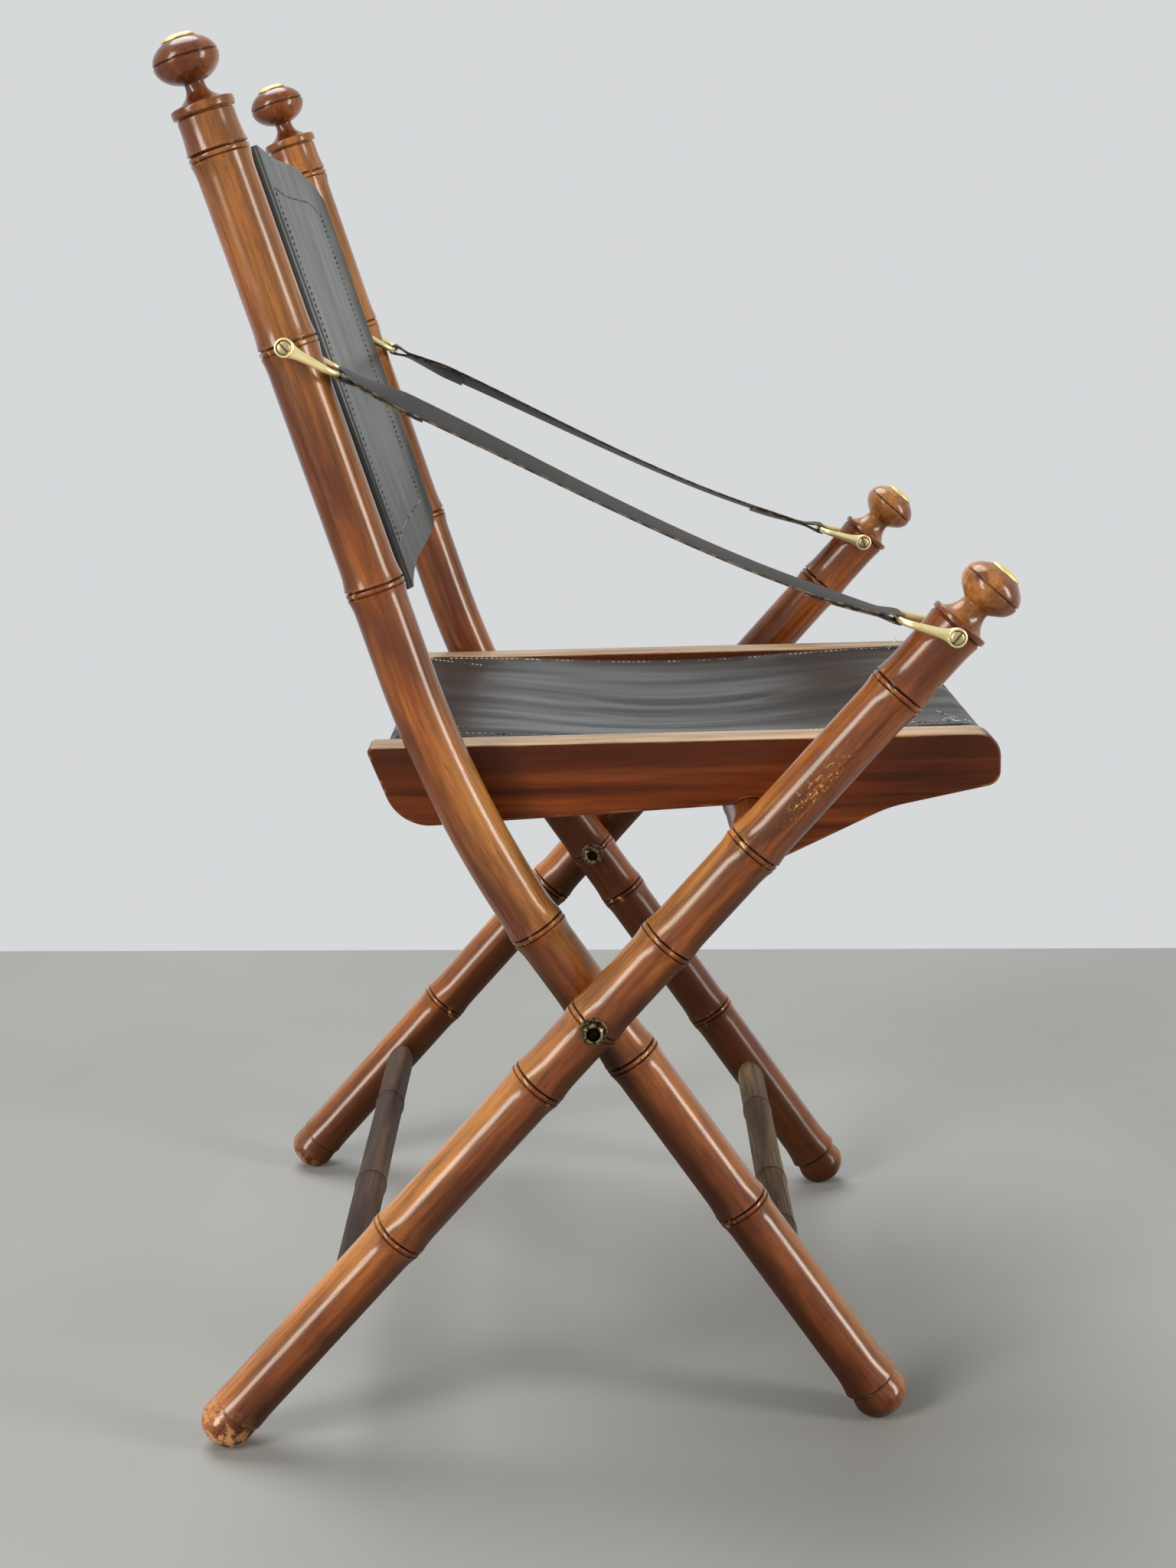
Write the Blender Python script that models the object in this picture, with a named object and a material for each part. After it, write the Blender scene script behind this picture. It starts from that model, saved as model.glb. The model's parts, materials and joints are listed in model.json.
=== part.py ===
"""Folding safari chair: turned poles crossed on two bolts, a seat frame that hooks over a cross rail,
a leather seat and back, and two leather arm straps held by brass shackles.

Metres. +X is the front of the chair, +Y its left side, +Z is up and the floor is at Z = 0.
Stations are distances along a pole's axis from the pivot bolt, positive upwards.
"""
import math

import bmesh
import bpy
import numpy as np
from mathutils import Matrix, Vector

# Fits
CLEARANCE = 0.0003          # between pieces that touch
SEAT_SIDE_GAP = 0.0010      # between a seat board and the back post beside it
LEATHER_SIDE_GAP = 0.0020   # between the seat leather's hem and a seat board

# Poles and posts
POLE_DIAMETER = 0.0375
POLE_SPAN = 0.510           # between the axes of the arm poles
PIVOT_X = -0.0017
PIVOT_HEIGHT = 0.309
ARM_RISE = 48.7             # degrees above the floor
POST_LEAN_LOW = 35.0        # degrees from upright, below the bend
POST_LEAN_HIGH = 18.4       # degrees from upright, above the bend
BEND_START = 0.048
BEND_RADIUS = 0.75
ARM_TOP = 0.361
POST_TOP = 0.648
ARM_BANDS = (-0.203, -0.057, 0.0745, 0.160, 0.300)
POST_BANDS = (-0.182, -0.046, 0.0, 0.066, 0.324, 0.489, 0.616)
BAND_RISE = 0.0012
BAND_WIDTH = 0.0080
FLANGE_RISE = 0.0020
FLANGE_HEIGHT = 0.0060
FLANGE_BEVEL = 0.0012
FOOT_ROUND = 0.0090
FOOT_GROOVE_UP = 0.0260     # from the end of the foot to its groove
FOOT_GROOVE_DEPTH = 0.0010
FOOT_WEAR = 0.0010          # what use has worn flat under each foot

# Finials and their brass caps
BALL_DIAMETER = 0.0430
BALL_HEIGHT = 0.0300
BALL_CENTRE_UP = 0.0275     # from the top of the pole
BALL_GROOVE_DEPTH = 0.0008
BACK_NECK_DIAMETER = 0.0130
ARM_NECK_DIAMETER = 0.0200
NECK_FOOT_DIAMETER = 0.0300
NECK_COVE_SHARE = 0.8       # of the neck's height that the cove at its foot takes
FINIAL_TENON_DIAMETER = 0.0120
FINIAL_TENON_LENGTH = 0.0220
CAP_DIAMETER = 0.0220
CAP_CROWN = 0.0038
CAP_SPIGOT_DIAMETER = 0.0045
CAP_SPIGOT_LENGTH = 0.0080

# Cross members
STRETCHER_DIAMETER = 0.0225
STRETCHER_TENON_DIAMETER = 0.0140
STRETCHER_TAPER = 0.0300
REAR_STRETCHER_STATION = -0.260
FRONT_STRETCHER_STATION = -0.240
REST_RAIL_DIAMETER = 0.0320
REST_RAIL_TENON_DIAMETER = 0.0200
REST_RAIL_TAPER = 0.0140
REST_RAIL_STATION = 0.165
TENON_DEPTH = 0.0140        # how far a cross member's tenon goes into a pole or board

# Pivot bolts
BOLT_DIAMETER = 0.0080
BOLT_HEAD_WIDTH = 0.0130    # across the flats, also of the nut
BOLT_HEAD_HEIGHT = 0.0053
BOLT_WASHER_DIAMETER = 0.0190
BOLT_WASHER_THICKNESS = 0.0014
POLE_WASHER_DIAMETER = 0.0220
POLE_WASHER_THICKNESS = 0.0012
BOLT_END_PROUD = 0.0020     # of the bolt beyond its nut

# Seat frame, in its own axes: forwards and upwards from the hinge pins
SEAT_HINGE_STATION = 0.166
SEAT_PIN_DIAMETER = 0.0080
SEAT_PIN_DEPTH = 0.0140     # into the post, and into the board
SEAT_TILT = 1.25            # degrees, front end up
BOARD_THICKNESS = 0.0280
BOARD_TOP = 0.0369
BOARD_REAR = 0.0673
BOARD_REAR_SLOPE = 0.0218   # how far the rear end slopes in from top to bottom
BOARD_BOTTOM = 0.0205       # below the hinge, at the rear
BOARD_WAIST = 0.0098        # below the hinge, behind the hook
BOARD_FRONT = 0.3662
BOARD_NOSE_BOTTOM = 0.0010
HOOK_DROP = 0.0290          # of the hook's tip below the rest rail's axis
HOOK_BROW_AHEAD = 0.0780    # from the hook's inner wall to where its underside turns level
HOOK_BROW_BOTTOM = 0.0140
BOARD_HEEL_RADIUS = 0.0320
BOARD_BROW_RADIUS = 0.0900
BOARD_NOSE_RADIUS = 0.0170
BOARD_CHIN_RADIUS = 0.0100
BOARD_EDGE_RADIUS = 0.0040
SEAT_RAIL_DIAMETER = 0.0240
SEAT_RAIL_TENON_DIAMETER = 0.0160
SEAT_REAR_SETBACK = 0.0100   # of the leather's wrap from the rear end of the board
SEAT_FRONT_SETBACK = 0.0042  # of the leather's wrap from the front end

# Leather
LEATHER = 0.0025
SEAT_SAG = 0.0180
SEAT_EDGE_SAG = 0.0070
SEAT_WRAP_UNDER = 60.0      # degrees that the seat leather goes on round below each rail
BACK_SAG = 0.0120
BACK_SLOT_SETBACK = 0.0090  # of the slots that hold the back leather behind the posts' axes
BACK_SLOT_DEPTH = 0.0060
BACK_ROLL_AHEAD = 0.0195    # of the back leather's rolled sides in front of the posts' axes
BACK_ROLL_RADIUS = 0.0035
BACK_SIDE_GAP = 0.0010      # between the back leather and a shackle's inner screw
BACK_MARGIN = 0.0015        # from the back leather to the bands above and below it
STRAP_WIDTH = 0.0240
STRAP_THICKNESS = 0.0036
STRAP_SAG = 0.0090
STRAP_LOOP_TURN = (20.0, 135.0)  # degrees round a bow, from the loop's end to where its sides meet

# Shackles and their screws
SHACKLE_LENGTH = 0.0365     # from the screw's axis to the bow's
SHACKLE_ROD = 0.0038
SHACKLE_EYE_DIAMETER = 0.0130
SHACKLE_EYE_THICKNESS = 0.0042
SHACKLE_CORNER = 0.0090
ARM_SHACKLE_STATION = 0.3515
ARM_SHACKLE_RISE = 164.0    # degrees, of the way each shackle points at rest
POST_SHACKLE_RISE = -28.0
SCREW_DIAMETER = 0.0040
SCREW_HEAD_DIAMETER = 0.0088
SCREW_HEAD_HEIGHT = 0.0018
SCREW_CROWN_SHARE = 0.7     # of the head's width that is left at its top
SCREW_SLOT = 0.0011
SCREW_SLOT_TURN = 35.0      # degrees from upright
SCREW_DEPTH = 0.0120        # into the wood

# Facets
POLE_SIDES = 18
SMALL_SIDES = 16
TRIM_SIDES = 12
ROD_SIDES = 8
ARC_STEPS = 5
BEND_STEPS = 8
WRAP_STEPS = 8
SEAT_STEPS = 20
SHEET_STEPS = 8
STRAP_STEPS = 16
SHARP_ANGLE = 35.0          # degrees between faces, above which an edge is drawn sharp

# Colour, roughness and metallic value of each finish
VARNISHED_WOOD = ((0.223, 0.071, 0.021), 0.30, 0.0)
SEAT_WOOD = ((0.156, 0.038, 0.016), 0.38, 0.0)
BARE_WOOD = ((0.250, 0.165, 0.095), 0.70, 0.0)
BLACK_LEATHER = ((0.060, 0.066, 0.064), 0.45, 0.0)
BRASS = ((0.700, 0.500, 0.180), 0.28, 1.0)
BRONZE = ((0.110, 0.070, 0.035), 0.40, 1.0)

# Places that follow from the sizes above
POLE_RADIUS = POLE_DIAMETER / 2
ARM_Y = POLE_SPAN / 2
POST_Y = ARM_Y - POLE_DIAMETER - BAND_RISE - POLE_WASHER_THICKNESS - 2 * CLEARANCE
BOARD_OUTER_Y = POST_Y - POLE_RADIUS - SEAT_SIDE_GAP
BOARD_INNER_Y = BOARD_OUTER_Y - BOARD_THICKNESS
POST_SHACKLE_STATION = POST_BANDS[5]
BACK_LOW = POST_BANDS[4] + BAND_WIDTH / 2 + BACK_MARGIN
BACK_HIGH = POST_BANDS[6] - BAND_WIDTH / 2 - BACK_MARGIN
BACK_EDGE_Y = POST_Y - math.sqrt(POLE_RADIUS ** 2 - BACK_SLOT_SETBACK ** 2)
POST_SHACKLE_GAP = POLE_RADIUS + BAND_RISE + CLEARANCE
ARM_SHACKLE_GAP = POLE_RADIUS + FLANGE_RISE + CLEARANCE
SCREW_SEAT_UP = SHACKLE_EYE_THICKNESS + CLEARANCE
BACK_WALL_Y = POST_Y - POST_SHACKLE_GAP - SCREW_SEAT_UP - SCREW_HEAD_HEIGHT - BACK_SIDE_GAP - LEATHER / 2
SIDES = (("right", -1), ("left", 1))


def arm_axis(station):
    """Point (x, z) of the arm pole's axis at a station, and the axis's angle above the floor."""
    angle = math.radians(ARM_RISE)
    return (PIVOT_X + station * math.cos(angle), PIVOT_HEIGHT + station * math.sin(angle)), angle


def post_axis(station):
    """Point (x, z) of the back post's axis, straight then bent then straight, and its angle there."""
    low = math.radians(90 + POST_LEAN_LOW)
    whole_turn = math.radians(POST_LEAN_LOW - POST_LEAN_HIGH)
    before = min(station, BEND_START)
    turn = min(max((station - BEND_START) / BEND_RADIUS, 0.0), whole_turn)
    after = max(station - BEND_START - BEND_RADIUS * whole_turn, 0.0)
    chord = 2 * BEND_RADIUS * math.sin(turn / 2)
    x = PIVOT_X + before * math.cos(low) + chord * math.cos(low - turn / 2) + after * math.cos(low - turn)
    z = PIVOT_HEIGHT + before * math.sin(low) + chord * math.sin(low - turn / 2)
    return (x, z + after * math.sin(low - turn)), low - turn


def place(point, y):
    """World point from a point (x, z) of the side view and a distance across the chair."""
    return Vector((point[0], y, point[1]))


def mesh_object(name, vertices, faces, location=(0, 0, 0), rotation=(0, 0, 0), parent=None):
    """Closed mesh with its faces turned outwards, round faces shaded smooth."""
    bm = bmesh.new()
    points = [bm.verts.new(vertex) for vertex in vertices]
    for face in faces:
        bm.faces.new([points[index] for index in face])
    bmesh.ops.recalc_face_normals(bm, faces=bm.faces)
    mesh = bpy.data.meshes.new(name)
    bm.to_mesh(mesh)
    bm.free()
    mesh.shade_smooth()
    mesh.set_sharp_from_angle(angle=math.radians(SHARP_ANGLE))
    body = bpy.data.objects.new(name, mesh)
    bpy.context.scene.collection.objects.link(body)
    body.parent = parent
    body.location = location
    body.rotation_euler = rotation
    return body


def lofted(name, rings, **placing):
    """Solid through rings of equal counts, with flat ends."""
    rings = np.asarray(rings, dtype=float)
    count, sides = rings.shape[:2]
    faces = []
    for ring in range(count - 1):
        for side in range(sides):
            following = (side + 1) % sides
            faces.append((ring * sides + side, ring * sides + following,
                          (ring + 1) * sides + following, (ring + 1) * sides + side))
    faces.append(tuple(range(sides)))
    faces.append(tuple((count - 1) * sides + side for side in range(sides)))
    return mesh_object(name, rings.reshape(-1, 3), faces, **placing)


def turned(name, profile, sides=POLE_SIDES, **placing):
    """Piece turned about its own Z axis from (height, radius) points, bottom to top."""
    around = np.linspace(0, 2 * math.pi, sides, endpoint=False)
    rings = [np.stack([radius * np.cos(around), radius * np.sin(around), np.full(sides, height)], 1)
             for height, radius in profile]
    return lofted(name, rings, **placing)


def extruded(name, outline, low, high, **placing):
    """Flat outline (x, z) given thickness along Y from low to high."""
    outline = np.asarray(outline, dtype=float)
    rings = [np.stack([outline[:, 0], np.full(len(outline), y), outline[:, 1]], 1) for y in (low, high)]
    return lofted(name, rings, **placing)


def rounded(corners):
    """Outline through (x, z, radius) corners, each rounded by an arc of its own radius."""
    outline = []
    for index, (x, z, radius) in enumerate(corners):
        corner = Vector((x, z))
        before = (Vector(corners[index - 1][:2]) - corner).normalized()
        after = (Vector(corners[(index + 1) % len(corners)][:2]) - corner).normalized()
        if radius == 0:
            outline.append((x, z))
            continue
        half = before.angle(after) / 2
        centre = corner + (before + after).normalized() * radius / math.sin(half)
        start = corner + before * radius / math.tan(half) - centre
        swing = start.angle_signed(corner + after * radius / math.tan(half) - centre)
        for step in range(ARC_STEPS + 1):
            spoke = Matrix.Rotation(-swing * step / ARC_STEPS, 2) @ start
            outline.append(tuple(centre + spoke))
    return outline


def sheet(name, surface, thickness, **placing):
    """Leather of even thickness about a middle surface given as a grid of points."""
    along = np.gradient(surface, axis=0)
    across = np.gradient(surface, axis=1)
    normal = np.cross(along, across)
    normal /= np.linalg.norm(normal, axis=2, keepdims=True)
    half = normal * thickness / 2
    rings = np.concatenate([surface + half, (surface - half)[:, ::-1]], 1)
    rows, ring = rings.shape[:2]
    columns = ring // 2
    faces = []
    for row in range(rows - 1):
        for column in range(ring):
            following = (column + 1) % ring
            faces.append((row * ring + column, row * ring + following,
                          (row + 1) * ring + following, (row + 1) * ring + column))
    for row in (0, rows - 1):
        for column in range(columns - 1):
            opposite = ring - 1 - column
            faces.append((row * ring + column, row * ring + column + 1,
                          row * ring + opposite - 1, row * ring + opposite))
    return mesh_object(name, rings.reshape(-1, 3), faces, **placing)


def finish(body, look):
    """Gives a piece its own material."""
    colour, roughness, metallic = look
    material = bpy.data.materials.new(body.name)
    material.use_nodes = True
    shader = material.node_tree.nodes["Principled BSDF"]
    shader.inputs["Base Color"].default_value = (*colour, 1)
    shader.inputs["Roughness"].default_value = roughness
    shader.inputs["Metallic"].default_value = metallic
    body.data.materials.append(material)
    return body


def combine(target, tool, operation="DIFFERENCE"):
    """Cuts a tool from a piece, or joins it on, and keeps the tool only as a wire guide."""
    tool.hide_render = True
    tool.display_type = "WIRE"
    boolean = target.modifiers.new(tool.name, "BOOLEAN")
    boolean.operation = operation
    boolean.solver = "EXACT"
    boolean.object = tool


def rod_between(name, start, end, radius, sides=SMALL_SIDES):
    """Plain round rod between two world points, used as a tool."""
    direction = Vector(end) - Vector(start)
    rod = turned(name, [(0, radius), (direction.length, radius)], sides, location=start)
    rod.rotation_euler = direction.to_track_quat("Z", "Y").to_euler()
    return rod


def drill(target, start, end, radius):
    """Round hole through a piece between two world points."""
    combine(target, rod_between(f"drill_{target.name}_{len(target.modifiers)}", start, end, radius))


def pole_profile(end, top, bands):
    """Turned pole: rounded foot with a groove, raised bands, and a flange at the top."""
    profile = []
    for step in range(ARC_STEPS):
        angle = math.radians(90) * step / ARC_STEPS
        profile.append((end + FOOT_ROUND * (1 - math.cos(angle)),
                        POLE_RADIUS - FOOT_ROUND * (1 - math.sin(angle))))
    groove = end + FOOT_GROOVE_UP
    profile += [(groove - FOOT_GROOVE_DEPTH, POLE_RADIUS), (groove, POLE_RADIUS - FOOT_GROOVE_DEPTH),
                (groove + FOOT_GROOVE_DEPTH, POLE_RADIUS)]
    for band in bands:
        half = BAND_WIDTH / 2
        profile += [(band - half, POLE_RADIUS), (band - half + BAND_RISE, POLE_RADIUS + BAND_RISE),
                    (band + half - BAND_RISE, POLE_RADIUS + BAND_RISE), (band + half, POLE_RADIUS)]
    flange = POLE_RADIUS + FLANGE_RISE
    profile += [(top - FLANGE_HEIGHT, POLE_RADIUS), (top - FLANGE_HEIGHT + FLANGE_BEVEL, flange),
                (top - FLANGE_BEVEL, flange), (top, flange - FLANGE_BEVEL)]
    return profile


def foot_end(rise):
    """Station of a pole's lower end, so that its worn foot stands on the floor."""
    angle = math.radians(rise)
    lowest = FOOT_ROUND + (POLE_RADIUS - FOOT_ROUND) * math.cos(angle) - FOOT_WEAR
    return (lowest - PIVOT_HEIGHT) / math.sin(angle) - FOOT_ROUND


def wear_foot(pole, foot_x, y):
    """Cuts a foot flat at floor level."""
    size = 2 * POLE_DIAMETER
    below = [(-size, -size), (size, -size), (size, 0), (-size, 0)]
    floor = extruded(f"floor_{pole.name}", below, -size, size, location=(foot_x, y, 0))
    combine(pole, floor)


def arm_pole(side, sign, frame):
    """Straight outer pole, from a rear foot up to the front end of an arm strap."""
    end = foot_end(ARM_RISE)
    profile = pole_profile(end, ARM_TOP, ARM_BANDS)
    pole = turned(f"arm_pole_{side}", profile, location=(0, sign * ARM_Y, 0), parent=frame,
                  rotation=(0, math.radians(90 - ARM_RISE), 0))
    wear_foot(pole, arm_axis(end)[0][0], sign * ARM_Y)
    return finish(pole, VARNISHED_WOOD)


def back_post(side, sign):
    """Bent inner post, from a front foot up to the top of the back."""
    end = foot_end(90 - POST_LEAN_LOW)
    profile = pole_profile(end, POST_TOP, POST_BANDS)
    bend = BEND_RADIUS * math.radians(POST_LEAN_LOW - POST_LEAN_HIGH)
    stations = [height for height, radius in profile]
    radii = [radius for height, radius in profile]
    extra = [BEND_START + bend * (step + 0.5) / BEND_STEPS for step in range(BEND_STEPS)]
    points = sorted(set(stations + extra))
    around = np.linspace(0, 2 * math.pi, POLE_SIDES, endpoint=False)
    rings = []
    for station, radius in zip(points, np.interp(points, stations, radii)):
        (x, z), angle = post_axis(station)
        ring_x = x - PIVOT_X + radius * np.cos(around) * math.sin(angle)
        ring_z = z - PIVOT_HEIGHT - radius * np.cos(around) * math.cos(angle)
        rings.append(np.stack([ring_x, radius * np.sin(around), ring_z], 1))
    post = lofted(f"back_post_{side}", rings, location=(PIVOT_X, sign * POST_Y, PIVOT_HEIGHT))
    wear_foot(post, post_axis(end)[0][0], sign * POST_Y)
    return finish(post, VARNISHED_WOOD)


def finial(kind, side, axis, top, y, neck_diameter, frame):
    """Turned ball on a thin neck, dowelled into the top of its pole, with a domed brass cap."""
    (x, z), angle = axis(top)
    origin = frame.location if frame else Vector((0, 0, 0))
    upright = (0, math.radians(90) - angle, 0)
    tenon = FINIAL_TENON_DIAMETER / 2
    profile = [(-FINIAL_TENON_LENGTH, tenon), (CLEARANCE, tenon), (CLEARANCE, NECK_FOOT_DIAMETER / 2)]
    neck = neck_diameter / 2
    half = BALL_HEIGHT / 2
    ball = BALL_DIAMETER / 2
    start = -math.acos((neck + BALL_GROOVE_DEPTH) / ball)
    neck_top = BALL_CENTRE_UP + half * math.sin(start)
    cove = NECK_FOOT_DIAMETER / 2 - neck
    for step in range(1, ARC_STEPS):
        share = step / ARC_STEPS
        profile.append((CLEARANCE + share * neck_top * NECK_COVE_SHARE, neck + cove * (1 - share) ** 3))
    stop = math.acos(CAP_DIAMETER / 2 / ball)
    for step in range(ARC_STEPS):
        swing = start * (1 - step / ARC_STEPS)
        profile.append((BALL_CENTRE_UP + half * math.sin(swing), ball * math.cos(swing)))
    for rise, cut in ((-BALL_GROOVE_DEPTH, 0), (0, BALL_GROOVE_DEPTH), (BALL_GROOVE_DEPTH, 0)):
        profile.append((BALL_CENTRE_UP + rise, ball - cut))
    for step in range(1, ARC_STEPS + 1):
        swing = stop * step / ARC_STEPS
        profile.append((BALL_CENTRE_UP + half * math.sin(swing), ball * math.cos(swing)))
    seat = BALL_CENTRE_UP + half * math.sin(stop)
    knob = turned(f"{kind}_finial_{side}", profile, location=place((x, z), y) - origin, rotation=upright,
                  parent=frame)
    finish(knob, VARNISHED_WOOD)

    spigot = CAP_SPIGOT_DIAMETER / 2
    crown = CAP_DIAMETER / 2
    cap_profile = [(-CAP_SPIGOT_LENGTH, spigot), (CLEARANCE, spigot), (CLEARANCE, crown)]
    for step in range(1, ARC_STEPS):
        rise = math.radians(90) * step / ARC_STEPS
        cap_profile.append((CLEARANCE + CAP_CROWN * math.sin(rise), crown * math.cos(rise)))
    along = Vector((math.cos(angle), 0, math.sin(angle)))
    cap = turned(f"{kind}_cap_{side}", cap_profile, TRIM_SIDES, parent=frame, rotation=upright,
                 location=place((x, z), y) + along * seat - origin)
    finish(cap, BRASS)
    base = place((x, z), y)
    drill(knob, base + along * (seat - CAP_SPIGOT_LENGTH - CLEARANCE), base + along * (seat + CAP_CROWN),
          spigot + CLEARANCE)
    return base - along * (FINIAL_TENON_LENGTH + CLEARANCE), base + along * FINIAL_TENON_LENGTH


def cross_member(name, look, point, half_span, diameter, tenon_diameter, taper, frame=None):
    """Round rail between the two sides, tapering into a tenon at each end."""
    full = diameter / 2
    tenon = tenon_diameter / 2
    shoulder = half_span - CLEARANCE
    tip = half_span + TENON_DEPTH
    profile = [(-tip, tenon), (-shoulder, tenon), (taper - shoulder, full),
               (shoulder - taper, full), (shoulder, tenon), (tip, tenon)]
    origin = frame.location if frame else Vector((0, 0, 0))
    rail = turned(name, profile, location=place(point, 0) - origin, rotation=(math.radians(-90), 0, 0),
                  parent=frame)
    return finish(rail, look)


def mortise(target, point, sign, half_span, tenon_diameter):
    """Blind hole for a cross member's tenon, open towards the middle of the chair."""
    start = place(point, sign * (half_span - TENON_DEPTH))
    end = place(point, sign * (half_span + TENON_DEPTH + CLEARANCE))
    drill(target, start, end, tenon_diameter / 2 + CLEARANCE)


def hexagon(width):
    """Corners of a hexagon by its width across the flats."""
    reach = width / 2 / math.cos(math.radians(30))
    turns = [math.radians(60 * corner) for corner in range(6)]
    return [(reach * math.cos(turn), reach * math.sin(turn)) for turn in turns]


def ring_washer(name, y, diameter, thickness, sign):
    """Flat washer on the pivot's axis, from y outwards along the chair's width."""
    pivot = (PIVOT_X, PIVOT_HEIGHT)
    washer = rod_between(name, place(pivot, sign * y), place(pivot, sign * (y + thickness)), diameter / 2,
                         POLE_SIDES)
    drill(washer, place(pivot, sign * (y - thickness)), place(pivot, sign * (y + 2 * thickness)),
          BOLT_DIAMETER / 2 + CLEARANCE)
    return finish(washer, BRONZE)


def pivot_hardware(side, sign):
    """Hex bolt through an arm pole and a back post, with its washers and its nut."""
    pivot = (PIVOT_X, PIVOT_HEIGHT)
    outer = ARM_Y + POLE_RADIUS + CLEARANCE
    inner = POST_Y - POLE_RADIUS - BAND_RISE - CLEARANCE - BOLT_WASHER_THICKNESS
    head_low = outer + BOLT_WASHER_THICKNESS + CLEARANCE
    nut_high = inner - CLEARANCE
    nut_low = nut_high - BOLT_HEAD_HEIGHT
    tip = nut_low - BOLT_END_PROUD
    shank_ends = place(pivot, sign * tip), place(pivot, sign * (head_low + CLEARANCE))
    bolt = rod_between(f"pivot_bolt_{side}", *shank_ends, BOLT_DIAMETER / 2)
    faces = sorted((sign * head_low, sign * (head_low + BOLT_HEAD_HEIGHT)))
    head = extruded(f"pivot_bolt_head_{side}", hexagon(BOLT_HEAD_WIDTH), *faces, location=place(pivot, 0))
    combine(bolt, head, "UNION")
    finish(bolt, BRONZE)
    ring_washer(f"pivot_head_washer_{side}", outer, BOLT_WASHER_DIAMETER, BOLT_WASHER_THICKNESS, sign)
    between = POST_Y + POLE_RADIUS + BAND_RISE + CLEARANCE
    ring_washer(f"pivot_pole_washer_{side}", between, POLE_WASHER_DIAMETER, POLE_WASHER_THICKNESS, sign)
    ring_washer(f"pivot_nut_washer_{side}", inner, BOLT_WASHER_DIAMETER, BOLT_WASHER_THICKNESS, sign)
    nut = extruded(f"pivot_nut_{side}", hexagon(BOLT_HEAD_WIDTH), *sorted((sign * nut_low, sign * nut_high)),
                   location=place(pivot, 0))
    drill(nut, place(pivot, sign * tip), place(pivot, sign * outer), BOLT_DIAMETER / 2 + CLEARANCE)
    finish(nut, BRONZE)
    return place(pivot, sign * (tip - BOLT_END_PROUD)), place(pivot, sign * (head_low + BOLT_HEAD_HEIGHT))


def seat_axes(point):
    """Point (x, z) of the side view in the seat frame's own axes."""
    hinge = post_axis(SEAT_HINGE_STATION)[0]
    tilt = Matrix.Rotation(math.radians(SEAT_TILT), 2)
    return tilt.transposed() @ (Vector(point) - Vector(hinge))


def board_outline():
    """Side view of a seat board: sloped heel, waist, hook over the rest rail, and rounded nose."""
    rail = seat_axes(arm_axis(REST_RAIL_STATION)[0])
    notch = REST_RAIL_DIAMETER / 2 + CLEARANCE
    heel = -BOARD_REAR + BOARD_REAR_SLOPE
    lip = math.asin((-BOARD_WAIST - rail.y) / notch)
    wall = rail.x + notch
    body = rounded([(wall, rail.y - HOOK_DROP, BOARD_EDGE_RADIUS),
                    (wall + HOOK_BROW_AHEAD, -HOOK_BROW_BOTTOM, BOARD_BROW_RADIUS),
                    (BOARD_FRONT, BOARD_NOSE_BOTTOM, BOARD_CHIN_RADIUS),
                    (BOARD_FRONT, BOARD_TOP, BOARD_NOSE_RADIUS),
                    (-BOARD_REAR, BOARD_TOP, BOARD_EDGE_RADIUS),
                    (heel, -BOARD_BOTTOM, BOARD_HEEL_RADIUS),
                    (rail.x - notch * math.cos(lip), -BOARD_WAIST, 0),
                    (wall, rail.y, 0)])
    arch = []
    for step in range(1, 2 * ARC_STEPS):
        angle = math.pi - lip - (math.pi - lip) * step / (2 * ARC_STEPS)
        arch.append((rail.x + notch * math.cos(angle), rail.y + notch * math.sin(angle)))
    return body[:-1] + arch + body[-1:]


def seat_rail_places():
    """Rear and front rail centres in the seat frame's own axes."""
    wrap = SEAT_RAIL_DIAMETER / 2 + CLEARANCE + LEATHER
    height = BOARD_TOP - wrap
    rear = SEAT_REAR_SETBACK + wrap - BOARD_REAR
    front = BOARD_FRONT - SEAT_FRONT_SETBACK - wrap
    return (rear, height), (front, height)


def seat_leather():
    """Middle surface of the seat leather: round the rear rail, down in a sag, and round the front rail."""
    rear, front = seat_rail_places()
    radius = SEAT_RAIL_DIAMETER / 2 + CLEARANCE + LEATHER / 2
    under = math.radians(SEAT_WRAP_UNDER)
    turn = np.linspace(math.pi + under, math.pi / 2, WRAP_STEPS + 1)[:-1]
    span = np.linspace(0, 1, SEAT_STEPS + 1)
    sag = np.concatenate([np.zeros(WRAP_STEPS), np.sin(math.pi * span) ** 2, np.zeros(WRAP_STEPS)])
    u = np.concatenate([rear[0] + radius * np.cos(turn), rear[0] + (front[0] - rear[0]) * span,
                        front[0] - radius * np.cos(turn[::-1])])
    v = np.concatenate([rear[1] + radius * np.sin(turn), np.full(SEAT_STEPS + 1, rear[1] + radius),
                        front[1] + radius * np.sin(turn[::-1])])
    half = BOARD_INNER_Y - LEATHER_SIDE_GAP
    y = np.linspace(-half, half, SHEET_STEPS + 1)
    depth = SEAT_EDGE_SAG + (SEAT_SAG - SEAT_EDGE_SAG) * np.cos(math.pi * y / 2 / half) ** 2
    surface = np.empty((len(u), len(y), 3))
    surface[..., 0] = u[:, None]
    surface[..., 1] = y
    surface[..., 2] = v[:, None] - sag[:, None] * depth
    return surface


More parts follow.
